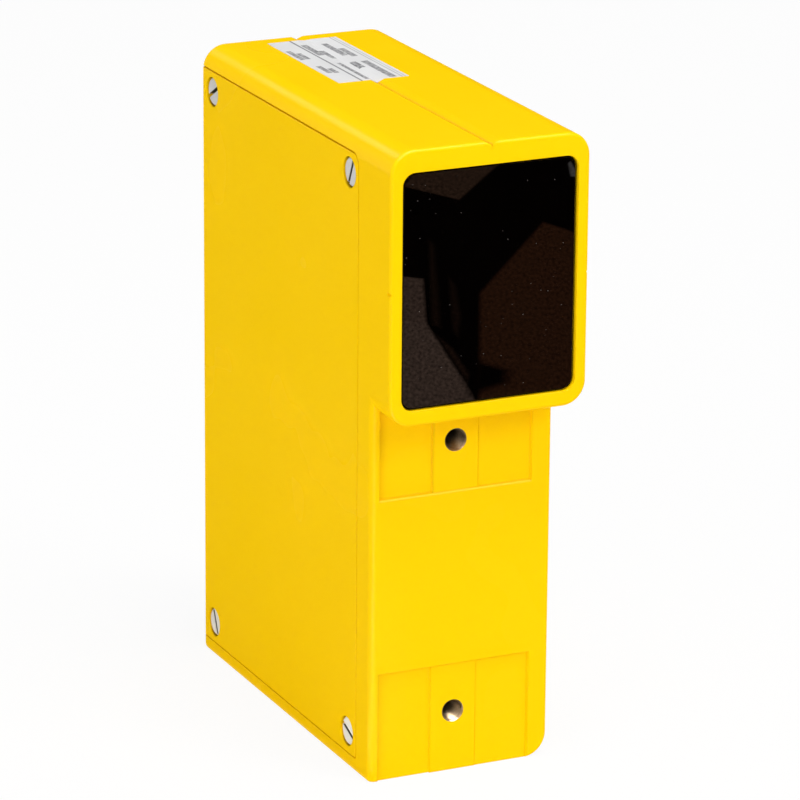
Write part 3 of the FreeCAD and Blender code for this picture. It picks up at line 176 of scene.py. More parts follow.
def pick_vertices(piece, test):
    """Select, in edit mode, the vertices whose place passes a test."""
    bpy.ops.object.mode_set(mode="EDIT")
    bpy.ops.mesh.select_mode(type="VERT")
    bpy.ops.mesh.select_all(action="DESELECT")
    bpy.ops.object.mode_set(mode="OBJECT")
    for vertex in piece.data.vertices:
        vertex.select = test(vertex.co)
    bpy.ops.object.mode_set(mode="EDIT")


def apply_place():
    """Move a piece's place, turn and size into its mesh, so that it sits at the origin."""
    bpy.ops.object.transform_apply(location=True, rotation=True, scale=True)


def apply_all(piece):
    """Apply a piece's modifiers and its place."""
    bpy.ops.object.mode_set(mode="OBJECT")
    for modifier in list(piece.modifiers):
        bpy.ops.object.modifier_apply(modifier=modifier.name)
    apply_place()


def add_node(tree, kind, inputs=None, **settings):
    """Add a node to a tree; an input is a socket to link or a plain value."""
    node = tree.nodes.new(kind)
    for key, setting in settings.items():
        setattr(node, key, setting)
    for key, source in (inputs or {}).items():
        if isinstance(source, bpy.types.NodeSocket):
            tree.links.new(source, node.inputs[key])
        else:
            node.inputs[key].default_value = source
    return node


# Sockets of the Mix node that hold its factor, its two colours and the mixed colour
MIX_FACTOR, MIX_FIRST, MIX_SECOND, MIX_RESULT = 0, 6, 7, 2


class Finish:
    """A material under construction: one shader and the pattern nodes that feed it."""

    def __init__(self, name, **sockets):
        self.material = bpy.data.materials.new(name)
        self.material.use_nodes = True
        self.tree = self.material.node_tree
        self.shader = self.tree.nodes["Principled BSDF"]
        for socket, setting in sockets.items():
            self.shader.inputs[socket.replace("_", " ")].default_value = setting
        self.place = self.node("ShaderNodeTexCoord").outputs["Object"]

    def node(self, kind, inputs=None, **settings):
        return add_node(self.tree, kind, inputs, **settings)

    def link(self, source, socket):
        """Feed a socket of the shader."""
        self.tree.links.new(source, self.shader.inputs[socket])

    def axes(self):
        """Place along X, Y and Z."""
        return self.node("ShaderNodeSeparateXYZ", {"Vector": self.place}).outputs

    def squeezed(self, scale):
        """Place scaled along the axes, which squeezes a pattern along the larger ones."""
        return self.node("ShaderNodeMapping", {"Vector": self.place, "Scale": scale}).outputs[0]

    def noise(self, size, detail=3.0, place=None):
        """Cloudy pattern whose features are about a size across."""
        inputs = {"Vector": self.place if place is None else place, "Scale": 1 / size,
                  "Detail": detail}
        return self.node("ShaderNodeTexNoise", inputs).outputs["Fac"]

    def cells(self, size):
        """Distance to the nearest of scattered points, a size apart."""
        inputs = {"Vector": self.place, "Scale": 1 / size}
        return self.node("ShaderNodeTexVoronoi", inputs).outputs["Distance"]

    def step(self, operation, *terms):
        """One arithmetic step."""
        return self.node("ShaderNodeMath", dict(enumerate(terms)), operation=operation).outputs[0]

    def times(self, *terms):
        """Product of values, or the overlap of masks."""
        return reduce(lambda first, second: self.step("MULTIPLY", first, second), terms)

    def most(self, *terms):
        """Largest of values, or the union of masks."""
        return reduce(lambda first, second: self.step("MAXIMUM", first, second), terms)

    def least(self, *terms):
        """Smallest of values."""
        return reduce(lambda first, second: self.step("MINIMUM", first, second), terms)

    def above(self, value, limit):
        return self.step("GREATER_THAN", value, limit)

    def below(self, value, limit):
        return self.step("LESS_THAN", value, limit)

    def within(self, value, middle, half):
        """One where a value lies within half a width of a middle."""
        return self.step("COMPARE", value, middle, half)

    def apart(self, value, middle):
        """Distance along one axis from a middle, on either side."""
        return self.step("ABSOLUTE", self.step("SUBTRACT", value, middle))

    def radius(self, across, up):
        """Distance from an axis, from the offsets square to it."""
        squares = [self.times(offset, offset) for offset in (across, up)]
        return self.step("SQRT", self.step("ADD", *squares))

    def span(self, source, low, high, to_low, to_high):
        """Stretch a value from one range to another, and hold it there."""
        inputs = {"Value": source, "From Min": low, "From Max": high, "To Min": to_low,
                  "To Max": to_high}
        return self.node("ShaderNodeMapRange", inputs, clamp=True).outputs["Result"]

    def blend(self, factor, first, second):
        """Mix two colours, each a socket or three plain values."""
        inputs = {MIX_FACTOR: factor}
        for key, color in ((MIX_FIRST, first), (MIX_SECOND, second)):
            linked = isinstance(color, bpy.types.NodeSocket)
            inputs[key] = color if linked else (*color, 1.0)
        mix = self.node("ShaderNodeMix", inputs, data_type="RGBA", clamp_factor=True)
        return mix.outputs[MIX_RESULT]

    def bump(self, height, strength, distance, under=None):
        """Raise the surface by a pattern, on top of another bump where there is one."""
        inputs = {"Height": height, "Strength": strength, "Distance": distance}
        if under is not None:
            inputs["Normal"] = under
        return self.node("ShaderNodeBump", inputs).outputs["Normal"]


def shade(color, factor):
    """Colour made darker or lighter."""
    return tuple(min(1.0, part * factor) for part in color)


def coat(finish, *names):
    """Give CAD pieces a finish."""
    for name in names:
        slots = NODES[name].data.materials
        slots.clear()
        slots.append(finish.material)


# Cover screws: radius of a head, rim round its slot that the painted shade leaves alone, and reach
# of a counterbore
HEAD_RADIUS = 3.5 * MM
HEAD_RIM = 0.35 * MM
COUNTERBORE_REACH = 4.0 * MM
# Painted shade on the screws' side, darkening where shade falls in the counterbores and slots:
# depth behind the face where it begins, and where it is full in a counterbore and in a slot
SHADE_START = 0.05 * MM
COUNTERBORE_SHADE_DEPTH = 0.5 * MM
SLOT_SHADE_DEPTH = 0.2 * MM
# Heights from a screw's axis between which the painted shade in its counterbore grows
COUNTERBORE_SHADE_HEIGHTS = 1.8 * MM, 3.2 * MM


def near_screws(finish, reach):
    """One within a reach of the cover screws' axes, and the height from the nearest of them."""
    low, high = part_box("cover_screws")
    middle, half = (low + high) / 2, (high - low) / 2
    parts = finish.axes()
    offsets = []
    for axis, center, side in (("Y", middle.y, half.y), ("Z", middle.z, half.z)):
        folded = finish.apart(parts[axis], center)
        offsets.append(finish.step("SUBTRACT", folded, side - HEAD_RADIUS))
    return finish.below(finish.radius(*offsets), reach), finish.step("ABSOLUTE", offsets[1])


def sunk(finish, face, end):
    """Rises from zero to one behind a face on the left, from where the painted shade begins to an
    end.
    """
    return finish.span(finish.axes()["X"], face + SHADE_START, face + end, 0, 1)


# Recesses of the lower front: foot and top of each, and of both the left edge, the left edge of
# the raised strip and the hindmost place
UPPER_FOOT, UPPER_TOP = 71.6 * MM, 92.8 * MM
LOWER_FOOT, LOWER_TOP = -1.0 * MM, 27.7 * MM
RECESS_LEFT = FRONT_MIDDLE - 19.9 * MM
STRIP_LEFT = FRONT_MIDDLE - 5.9 * MM
RECESS_BACK = -49.0 * MM
# Groove along the top: foot and top of its part with painted shade, and its hindmost place
GROOVE_FOOT, GROOVE_TOP = CAD_HIGH[2] - 2.0 * MM, CAD_HIGH[2] - 0.6 * MM
GROOVE_BACK = 60.0 * MM
# Painted shade as dark lines along the recesses' edges and in the groove, where shade falls: place
# across, foot, top, hindmost place, and how much
SHADE_LINES = [
    (STRIP_LEFT, UPPER_FOOT, UPPER_TOP, RECESS_BACK, 0.20),
    (RECESS_LEFT, UPPER_FOOT, UPPER_TOP, RECESS_BACK, 0.05),
    (RECESS_LEFT, LOWER_FOOT, LOWER_TOP, RECESS_BACK, 0.20),
    (GROOVE_MIDDLE, GROOVE_FOOT, GROOVE_TOP, GROOVE_BACK, 0.12),
]
# Half width of a painted shade line's full part and of its soft rim
SHADE_LINE_CORE = 0.12 * MM
SHADE_LINE_REACH = 0.6 * MM
# Painted highlight along the ledge under the upper recess: half height of the pale line and half
# width
LEDGE_HALF = 0.15 * MM
LEDGE_REACH = 20.3 * MM


def painted_shade_lines(finish):
    """Painted shade: soft dark lines along the recesses' edges and in the groove."""
    parts = finish.axes()
    lines = []
    for across, foot, top, back, amount in SHADE_LINES:
        away = finish.apart(parts["X"], across)
        tone = finish.span(away, SHADE_LINE_CORE, SHADE_LINE_REACH, amount, 0)
        height = finish.within(parts["Z"], (foot + top) / 2, (top - foot) / 2)
        lines.append(finish.times(tone, height, finish.below(parts["Y"], back)))
    return finish.most(*lines)


def ledge_highlight(finish):
    """Painted highlight: pale line along the ledge under the upper recess."""
    parts = finish.axes()
    return finish.times(finish.within(parts["Z"], UPPER_FOOT, LEDGE_HALF),
                        finish.within(parts["X"], FRONT_MIDDLE, LEDGE_REACH),
                        finish.below(parts["Y"], RECESS_BACK))


# Paint: sizes of its clouds, specks and orange peel, depths of grain and peel, and the radius that
# eases its edges
CLOUDS = 38 * MM
SPECKS = 0.55 * MM
PEEL = 4.5 * MM
GRAIN_DEPTH = 0.06 * MM
PEEL_DEPTH = 0.05 * MM
EASED_EDGE = 0.35 * MM
# Tone of the painted shade along the recesses' edges and in the groove
EDGE_SHADE_TONE = (0.35, 0.22, 0.002)
# Tone of the painted shade in the counterbores
COUNTERBORE_SHADE_TONE = (0.20, 0.10, 0.004)
# Tone of the painted highlight on the ledge
LEDGE_HIGHLIGHT_TONE = (1.0, 0.70, 0.02)
# Bare walls of the mounting holes: reach past the thread's root and behind the mouth, tool marks,
# tones darkened to brown as painted shade, and roughness
BARE_REACH = 0.37 * MM
BARE_DEPTH = 12 * MM
BARE_MARKS = 0.5 * MM
BARE_SHADED_TONES = (0.14, 0.085, 0.045), (0.36, 0.26, 0.17)
BARE_ROUGHNESS = 0.32


def paint_coat(name, settings):
    """Satin paint with a fine grain, its colour and its roughness."""
    color = tuple(settings.color)
    finish = Finish(name, Specular_IOR_Level=settings.gloss)
    clouds = finish.noise(CLOUDS, 2.0)
    specks = finish.noise(SPECKS, 2.0)
    paint = finish.blend(finish.span(clouds, 0.3, 0.7, 0, 1), shade(color, 0.985), color)
    paint = finish.blend(finish.span(specks, 0.35, 0.75, 0, 0.5), paint, shade(color, 1.02))
    eased = finish.node("ShaderNodeBevel", {"Radius": EASED_EDGE}, samples=4).outputs["Normal"]
    normal = finish.bump(finish.noise(settings.grain, 2.0), 0.10, GRAIN_DEPTH, eased)
    normal = finish.bump(finish.noise(PEEL, 1.0), 0.12, PEEL_DEPTH, normal)
    finish.link(normal, "Normal")
    rough = finish.span(clouds, 0.25, 0.75, settings.roughness - 0.04, settings.roughness + 0.06)
    return finish, paint, rough


def cover_finish(settings):
    """Paint of the side cover, with painted shade at the ends of its counterbores."""
    finish, paint, rough = paint_coat("yellow_cover_paint", settings)
    around, height = near_screws(finish, COUNTERBORE_REACH)
    # Painted shade: darker paint in the counterbores, strongest at their upper and lower ends
    painted_shade = finish.times(around, sunk(finish, CAD_LOW[0], COUNTERBORE_SHADE_DEPTH),
                         finish.span(height, *COUNTERBORE_SHADE_HEIGHTS, 0.2, 1),
                         finish.span(finish.noise(SPECKS, 2.0), 0.3, 0.7, 0.6, 0.95))
    finish.link(finish.blend(painted_shade, paint, COUNTERBORE_SHADE_TONE), "Base Color")
    finish.link(rough, "Roughness")
    return finish


def housing_finish(settings, threads):
    """Housing paint with painted shade on edges and a painted highlight on a ledge; hole walls
    bare, shaded metal.
    """
    finish, paint, rough = paint_coat("yellow_paint", settings)
    # Painted shade lines along the recesses' edges and in the groove
    paint = finish.blend(painted_shade_lines(finish), paint, EDGE_SHADE_TONE)
    # Painted highlight along the ledge under the upper recess
    paint = finish.blend(ledge_highlight(finish), paint, LEDGE_HIGHLIGHT_TONE)
    parts = finish.axes()
    across = finish.step("SUBTRACT", parts["X"], threads.across)
    inside = []
    for height in (threads.low, threads.high):
        up = finish.step("SUBTRACT", parts["Z"], height)
        inside.append(finish.below(finish.radius(across, up), threads.radius + BARE_REACH))
    in_front = finish.below(parts["Y"], threads.mouth + BARE_DEPTH)
    bare = finish.times(finish.most(*inside), in_front)
    marks = finish.noise(BARE_MARKS, 2.0, finish.squeezed((1, 6, 1)))
    # Bare metal darkened to brown as painted shade in the holes
    metal = finish.blend(marks, *BARE_SHADED_TONES)
    finish.link(finish.blend(bare, paint, metal), "Base Color")
    finish.link(bare, "Metallic")
    finish.link(finish.span(bare, 0, 1, rough, BARE_ROUGHNESS), "Roughness")
    return finish


class BARRIER_OT_paint_housing(bpy.types.Operator):
    """Paint the housing and its side cover"""
    bl_idname = "barrier.paint_housing"
    bl_label = "Paint the housing"

    def execute(self, context):
        settings = context.scene.barrier_paint
        coat(housing_finish(settings, context.scene.barrier_thread), "housing")
        coat(cover_finish(settings), "side_cover")
        return {"FINISHED"}


# Filter pane: size of its haze, how far apart dust may lie, its size as a share of that, size of
# its clusters and how dense they have to be
HAZE = 16 * MM
DUST_APART = 1.7 * MM
DUST_SIZE = 0.068
DUST_CLUSTER = 1.3 * MM
DUST_DENSITY = 0.53
DUST_TONE = (0.050, 0.042, 0.037)
# Its bevelled rim: where it begins behind the face, how much of the right edge is spared, how dull
RIM_START = 0.03 * MM
SPARED_EDGE = 0.6 * MM
DULL_ROUGHNESS = 0.6
CLEAR_PLASTIC_IOR = 1.49
# Rubber: sizes of its bloom and grain, and depth of the grain
BLOOM = 6 * MM
RUBBER_GRAIN = 0.35 * MM
RUBBER_DEPTH = 0.05 * MM


def pane_finish():
    """Dark filter pane with a little dust; its bevelled rim is dull but for the right edge."""
    low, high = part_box("window_pane")
    finish = Finish("dark_filter_pane", IOR=CLEAR_PLASTIC_IOR)
    haze = finish.noise(HAZE)
    dust = finish.times(finish.below(finish.cells(DUST_APART), DUST_SIZE),
                        finish.above(finish.noise(DUST_CLUSTER, 0.0), DUST_DENSITY))
    glass = finish.blend(haze, (0.0002, 0.0001, 0.0001), (0.0007, 0.0004, 0.0003))
    finish.link(finish.blend(dust, glass, DUST_TONE), "Base Color")
    parts = finish.axes()
    rim = finish.times(finish.above(parts["Y"], low.y + RIM_START),
                       finish.below(parts["X"], high.x - SPARED_EDGE))
    finish.link(finish.span(rim, 0, 1, 0.5, 0.05), "Specular IOR Level")
    smear = finish.span(haze, 0.3, 0.7, 0.004, 0.012)
    dull_and_shade = finish.times(finish.most(dust, rim), DULL_ROUGHNESS)
    finish.link(finish.most(smear, dull_and_shade), "Roughness")
    return finish


def rubber_finish():
    """Matt black rubber with a faint bloom."""
    finish = Finish("black_rubber", Specular_IOR_Level=0.35)
    bloom = finish.noise(BLOOM, 4.0)
    finish.link(finish.blend(bloom, (0.010, 0.010, 0.010), (0.026, 0.025, 0.024)), "Base Color")
    finish.link(finish.span(bloom, 0.2, 0.8, 0.55, 0.75), "Roughness")
    finish.link(finish.bump(finish.noise(RUBBER_GRAIN, 2.0), 0.25, RUBBER_DEPTH), "Normal")
    return finish


class BARRIER_OT_finish_window(bpy.types.Operator):
    """Give the filter pane and all rubber pieces their finishes"""
    bl_idname = "barrier.finish_window"
    bl_label = "Finish the window"

    def execute(self, context):
        coat(pane_finish(), "window_pane")
        coat(rubber_finish(), "window_seal", "cover_gasket", "gland_o_ring", "gland_seal")
        return {"FINISHED"}


# Metals: depth of the tool marks, and size of the tarnish as a multiple of theirs
MARKS_DEPTH = 0.02 * MM
TARNISH_TIMES = 9
# Tones of the painted shade on the upper screw heads and in their slots
UPPER_HEAD_SHADE_TONE = (0.50, 0.50, 0.52)
SLOT_SHADE_TONE = (0.045, 0.040, 0.030)
# Each metal: finish, dark and light tone, roughness, size and squeeze of the tool marks, pieces
METALS = [
    ("bright_metal", (0.55, 0.56, 0.57), (0.78, 0.79, 0.80), 0.26, 0.5 * MM, (1, 1, 1),
     ("emitter_led", "emitter_board_screws", "optics_screws", "board_screws", "terminal_screws")),
    ("gland_nickel", (0.46, 0.44, 0.40), (0.68, 0.66, 0.61), 0.27, 1.4 * MM, (1, 5, 1),
     ("gland_body", "gland_nut", "gland_locknut")),
    ("brass_metal", (0.55, 0.38, 0.14), (0.80, 0.60, 0.26), 0.30, 0.5 * MM, (1, 1, 1),
     ("earth_screw", "earth_washer")),
    ("black_anodised", (0.02, 0.02, 0.02), (0.05, 0.05, 0.05), 0.42, 0.6 * MM, (1, 1, 1),
     ("aperture_plate",)),
]


def metal_finish(name, dark, light, roughness, grain, squeeze=(1, 1, 1), metal=1.0, wear_and_shade=None):
    """Bare or plated metal with fine tool marks, and painted shade from a function where one is
    given.
    """
    finish = Finish(name, Metallic=metal)
    marks = finish.noise(grain, 4.0, finish.squeezed(squeeze))
    tarnish = finish.noise(grain * TARNISH_TIMES)
    base = finish.blend(marks, dark, light)
    base = finish.blend(finish.span(tarnish, 0.45, 0.8, 0, 0.45), base, dark)
    if wear_and_shade is not None:
        base = wear_and_shade(finish, base)
    finish.link(base, "Base Color")
    finish.link(finish.span(tarnish, 0.2, 0.8, roughness - 0.05, roughness + 0.12), "Roughness")
    finish.link(finish.bump(marks, 0.12, MARKS_DEPTH), "Normal")
    return finish


def shaded_heads(finish, base):
    """Slotted heads with painted shade: the upper ones darker, and their slots dark."""
    low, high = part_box("cover_screws")
    # Painted shade: the heads grow darker towards the top, and dark in their slots
    dull_and_shade = finish.span(finish.axes()["Z"], low.z, high.z, 0, 0.75)
    base = finish.blend(dull_and_shade, base, UPPER_HEAD_SHADE_TONE)
    inner = near_screws(finish, HEAD_RADIUS - HEAD_RIM)[0]
    painted_shade = finish.times(inner, sunk(finish, low.x, SLOT_SHADE_DEPTH))
    return finish.blend(painted_shade, base, SLOT_SHADE_TONE)


class BARRIER_OT_finish_metals(bpy.types.Operator):
    """Give screws, gland and other metal pieces their finishes"""
    bl_idname = "barrier.finish_metals"
    bl_label = "Finish the metal pieces"

    def execute(self, context):
        coat(metal_finish("nickel_steel", (0.80, 0.78, 0.73), (0.94, 0.92, 0.87), 0.42, 0.4 * MM,
                          (1, 1, 7), metal=0.15, wear_and_shade=shaded_heads), "cover_screws")
        for *look, pieces in METALS:
            coat(metal_finish(*look), *pieces)
        return {"FINISHED"}


# Each plastic: finish, dark and light tone, roughness, size of the grain, gloss, pieces
PLASTICS = [
    ("black_plastic", (0.012, 0.012, 0.013), (0.030, 0.030, 0.032), 0.55, 0.4 * MM, 0.4,
     ("lens_tube", "lens_ring")),
    ("green_plastic", (0.020, 0.20, 0.085), (0.035, 0.28, 0.12), 0.42, 0.5 * MM, 0.4,
     ("terminal_block",)),
    ("blue_sleeve", (0.010, 0.035, 0.16), (0.020, 0.06, 0.24), 0.25, 0.9 * MM, 0.5,
     ("capacitors",)),
    ("chip_epoxy", (0.010, 0.010, 0.011), (0.024, 0.024, 0.026), 0.5, 0.3 * MM, 0.4,
     ("logic_chips", "regulator")),
    ("white_plastic", (0.62, 0.60, 0.54), (0.74, 0.72, 0.66), 0.45, 0.4 * MM, 0.4,
     ("emitter_plugs",)),
    ("lead_jacket", (0.05, 0.05, 0.055), (0.10, 0.10, 0.11), 0.6, 0.4 * MM, 0.4,
     ("emitter_lead",)),
]
# Plastics: size of the flow pattern and depth of the grain
FLOW = 9 * MM
PLASTIC_DEPTH = 0.03 * MM
# Lens: size of its swirl
SWIRL = 20 * MM
# Boards: distance between tracks, half width of a track as a share of it, length over which tracks
# wander, size of the areas that have any, and how far the tracks stand up
TRACK_APART = 2.54 * MM
TRACK_HALF = 0.16
TRACK_WANDER = 14 * MM
TRACK_AREA = 8 * MM
TRACK_DEPTH = 0.05 * MM
# Choke: thickness of a flange and of the wire, depth between turns, and grain of the ferrite
FLANGE = 1.5 * MM
WIRE = 0.5 * MM
WIRE_DEPTH = 0.15 * MM
FERRITE_GRAIN = 1.2 * MM


def plastic_finish(name, dark, light, roughness, grain, gloss):
    """Moulded plastic with a faint flow pattern and a fine spark-eroded grain."""
    finish = Finish(name, Specular_IOR_Level=gloss)
    flow = finish.noise(FLOW)
    finish.link(finish.blend(finish.span(flow, 0.3, 0.7, 0, 1), dark, light), "Base Color")
    finish.link(finish.span(flow, 0.2, 0.8, roughness - 0.05, roughness + 0.08), "Roughness")
    finish.link(finish.bump(finish.noise(grain, 2.0), 0.18, PLASTIC_DEPTH), "Normal")
    return finish


def lens_finish():
    """Clear moulded lens with a faint swirl."""
    finish = Finish("clear_lens", IOR=CLEAR_PLASTIC_IOR, Transmission_Weight=1.0)
    swirl = finish.noise(SWIRL, 1.0)
    finish.link(finish.blend(swirl, (0.93, 0.95, 0.95), (0.97, 0.98, 0.98)), "Base Color")
    finish.link(finish.span(swirl, 0.3, 0.7, 0.0, 0.02), "Roughness")
    return finish


def board_finish():
    """Green circuit board with copper tracks showing through the mask."""
    finish = Finish("green_board", Specular_IOR_Level=0.45)
    wander = finish.span(finish.noise(TRACK_WANDER, 1.0), 0.35, 0.65, 0, 4)
    lanes = finish.step("ADD", finish.times(finish.axes()["Z"], 1 / TRACK_APART), wander)
    track = finish.below(finish.step("PINGPONG", lanes, 0.5), TRACK_HALF)
    area = finish.above(finish.noise(TRACK_AREA, 0.0), 0.47)
    copper = finish.times(track, area)
    finish.link(finish.blend(copper, (0.012, 0.095, 0.035), (0.035, 0.19, 0.065)), "Base Color")
    finish.link(finish.span(copper, 0, 1, 0.34, 0.26), "Roughness")
    finish.link(finish.bump(copper, 0.3, TRACK_DEPTH), "Normal")
    return finish


def choke_finish():
    """Ferrite drum with a varnished copper winding between its flanges."""
    low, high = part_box("choke")
    finish = Finish("ferrite_and_wire")
    along = finish.axes()["X"]
    wound = finish.times(finish.above(along, low.x + FLANGE), finish.below(along, high.x - FLANGE))
    turns = finish.step("PINGPONG", finish.times(along, 1 / WIRE), 0.5)
    wire = finish.blend(turns, (0.18, 0.05, 0.015), (0.58, 0.20, 0.07))
    ferrite = finish.blend(finish.noise(FERRITE_GRAIN), (0.020, 0.020, 0.022),
                           (0.050, 0.050, 0.054))
    finish.link(finish.blend(wound, ferrite, wire), "Base Color")
    finish.link(finish.times(wound, 0.8), "Metallic")
    finish.link(finish.span(wound, 0, 1, 0.62, 0.34), "Roughness")
    finish.link(finish.bump(turns, 0.4, WIRE_DEPTH), "Normal")
    return finish


class BARRIER_OT_finish_inside(bpy.types.Operator):
    """Give the optics, boards and what stands on them their finishes"""
    bl_idname = "barrier.finish_inside"
    bl_label = "Finish the inside"

    def execute(self, context):
        coat(lens_finish(), "lens")
        coat(board_finish(), "main_board", "emitter_board")
        coat(choke_finish(), "choke")
        for *look, pieces in PLASTICS:
            coat(plastic_finish(*look), *pieces)
        return {"FINISHED"}


# Printed bars of the label: middle and half length along it from the back, then middle and half
# width across it from the left, as shares of its length and width
LABEL_BARS = [
    (0.33, 0.11, 0.075, 0.036), (0.36, 0.075, 0.155, 0.036), (0.69, 0.085, 0.115, 0.036),
    (0.73, 0.055, 0.20, 0.036), (0.25, 0.13, 0.405, 0.045), (0.35, 0.09, 0.51, 0.045),
    (0.78, 0.20, 0.455, 0.050), (0.28, 0.15, 0.69, 0.045), (0.37, 0.10, 0.79, 0.045),
    (0.655, 0.07, 0.63, 0.045), (0.79, 0.20, 0.79, 0.050),
]
# Ruled lines of the label: place and half width across it, and how dark
LABEL_RULES = [(0.325, 0.014, 0.85), (0.905, 0.010, 0.5), (0.95, 0.010, 0.35)]
# Label: sizes of the ink's wear, of the film's tone and of its grain, and depth of the grain
INK_WEAR = 0.9 * MM
FILM_CLOUDS = 12 * MM
FILM_GRAIN = 1.6 * MM
FILM_DEPTH = 0.03 * MM
# Rounding of the film's rim as a share of its thickness, and the angle that tells rim from fold
RIM_SHARE = 0.3
RIM_ANGLE = math.radians(60)


def label_finish(settings):
    """Matt pale film with plain ruled lines and grey bars."""
    finish = Finish("label_film", Specular_IOR_Level=0.3)
    parts = finish.axes()
    along = finish.span(parts["Y"], settings.front + settings.length, settings.front, 0, 1)
    across = finish.span(parts["X"], settings.left, settings.left + settings.width, 0, 1)
    bars = [finish.times(finish.within(along, middle, half), finish.within(across, over, thick))
            for middle, half, over, thick in LABEL_BARS]
    rules = [finish.times(finish.within(across, over, thick), dark)
             for over, thick, dark in LABEL_RULES]
    wear_and_shade = finish.span(finish.noise(INK_WEAR, 2.0), 0.3, 0.6, 0.35, 0.9)
    ink = finish.most(finish.times(finish.most(*bars), wear_and_shade), *rules)
    tone = finish.noise(FILM_CLOUDS)
    film = finish.blend(tone, shade(settings.film, 0.96), tuple(settings.film))
    finish.link(finish.blend(ink, film, tuple(settings.ink)), "Base Color")
    finish.link(finish.span(tone, 0.3, 0.7, 0.42, 0.52), "Roughness")
    finish.link(finish.bump(finish.noise(FILM_GRAIN, 2.0), 0.08, FILM_DEPTH), "Normal")
    return finish


class BARRIER_OT_add_label(bpy.types.Operator):
    """Lay the bare label on the top, pressed into the groove"""
    bl_idname = "barrier.add_label"
    bl_label = "Add the label"

    def execute(self, context):
        settings = context.scene.barrier_label
        top = CAD_HIGH[2] + CLOSE
        edges = [settings.left, settings.groove_middle - settings.groove_half,
                 settings.groove_middle, settings.groove_middle + settings.groove_half,
                 settings.left + settings.width]
        drops = [0.0, -settings.dip_front, settings.dip_front, 0.0]
        deselect()
        middle = ((edges[0] + edges[1]) / 2, settings.front + settings.length / 2, top)
        bpy.ops.mesh.primitive_plane_add(size=1, location=middle)
        label = name_active("top_label")
        label.scale = (edges[1] - edges[0], settings.length, 1)
        apply_place()
        for index in (1, 2, 3):
            here = edges[index]
            pick_vertices(label, lambda place: place.x > here - CLOSE)
            step = (edges[index + 1] - here, 0, drops[index])
            bpy.ops.mesh.extrude_region_move(TRANSFORM_OT_translate={"value": step})
        pick_vertices(label, lambda place: place.z < top - CLOSE and place.y > middle[1])
        bpy.ops.transform.translate(value=(0, 0, settings.dip_front - settings.dip_back))
        bpy.ops.object.mode_set(mode="OBJECT")
        film = label.modifiers.new("film", "SOLIDIFY")
        film.thickness = settings.thickness
        film.offset = 1.0
        rim = label.modifiers.new("rim", "BEVEL")
        rim.width = settings.thickness * RIM_SHARE
        rim.segments = 2
        rim.limit_method = "ANGLE"
        rim.angle_limit = RIM_ANGLE
        apply_all(label)
        label.data.materials.append(label_finish(settings).material)
        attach(label, BODY)
        return {"FINISHED"}


# Thread: its dark and light tone, darkened to brown as painted shade, half height of its ridge's
# section as a share of the pitch, steps in a turn, and the angle up to which its faces look round
THREAD_SHADED_TONES = (0.10, 0.065, 0.035), (0.24, 0.19, 0.13)
RIDGE_SHARE = 0.45
TURN_STEPS = 28
SMOOTH_ANGLE = math.radians(35)


class BARRIER_OT_add_threads(bpy.types.Operator):
    """Cut threads into the two mounting holes"""
    bl_idname = "barrier.add_threads"
    bl_label = "Add the threads"

    def execute(self, context):
        settings = context.scene.barrier_thread
        # Thread metal darkened to brown as painted shade in the holes
        metal = metal_finish("cut_thread", *THREAD_SHADED_TONES, 0.34, BARE_MARKS)
        deselect()
        bpy.ops.mesh.primitive_circle_add(vertices=4, radius=settings.ridge,
                                          location=(settings.radius, 0, 0),
                                          rotation=(math.pi / 2, 0, 0))
        first = name_active("mount_thread_lower")
        first.scale = (1, settings.pitch * RIDGE_SHARE / settings.ridge, 1)
        apply_place()
        coil = first.modifiers.new("coil", "SCREW")
        coil.axis = "Z"
        coil.angle = math.tau
        coil.screw_offset = settings.pitch
        coil.iterations = settings.turns
        coil.steps = coil.render_steps = TURN_STEPS
        coil.use_merge_vertices = False
        bpy.ops.object.modifier_apply(modifier=coil.name)
        bpy.ops.object.mode_set(mode="EDIT")
        bpy.ops.mesh.select_all(action="SELECT")
        bpy.ops.mesh.fill_holes(sides=4)
        bpy.ops.mesh.select_all(action="SELECT")
        bpy.ops.mesh.normals_make_consistent(inside=False)
        bpy.ops.object.mode_set(mode="OBJECT")
        first.rotation_euler = (-math.pi / 2, 0, 0)
        bpy.ops.object.shade_smooth_by_angle(angle=SMOOTH_ANGLE)
        bpy.ops.object.duplicate(linked=False)
        second = name_active("mount_thread_upper")
        for thread, height in ((first, settings.low), (second, settings.high)):
            deselect()
            context.view_layer.objects.active = thread
            thread.select_set(True)
            thread.location = (settings.across, settings.mouth + settings.start, height)
            apply_all(thread)
            thread.data.materials.clear()
            thread.data.materials.append(metal.material)
            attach(thread, BODY)
        return {"FINISHED"}


def seen_by_eye(tree):
    """One for rays that show a background: straight, reflected or passed through glass."""
    rays = add_node(tree, "ShaderNodeLightPath").outputs
    seen = rays["Is Camera Ray"]
    for kind in ("Is Glossy Ray", "Is Transmission Ray"):
        either = add_node(tree, "ShaderNodeMath", {0: seen, 1: rays[kind]}, operation="MAXIMUM")
        seen = either.outputs[0]
    return seen


def floor_material(color, white):
    """Pale floor that shows mostly plain white to the eye, and still takes shadows."""
    material = bpy.data.materials.new("floor")
    material.use_nodes = True
    tree = material.node_tree
    tree.nodes.clear()
    lit = add_node(tree, "ShaderNodeBsdfDiffuse", {"Color": (*color, 1.0)})
    plain = add_node(tree, "ShaderNodeEmission", {"Strength": 1.0})
    share = add_node(tree, "ShaderNodeMath", {0: seen_by_eye(tree), 1: white},
                     operation="MULTIPLY")
    mix = add_node(tree, "ShaderNodeMixShader",
                   {0: share.outputs[0], 1: lit.outputs[0], 2: plain.outputs[0]})
    add_node(tree, "ShaderNodeOutputMaterial", {"Surface": mix.outputs[0]})
    return material


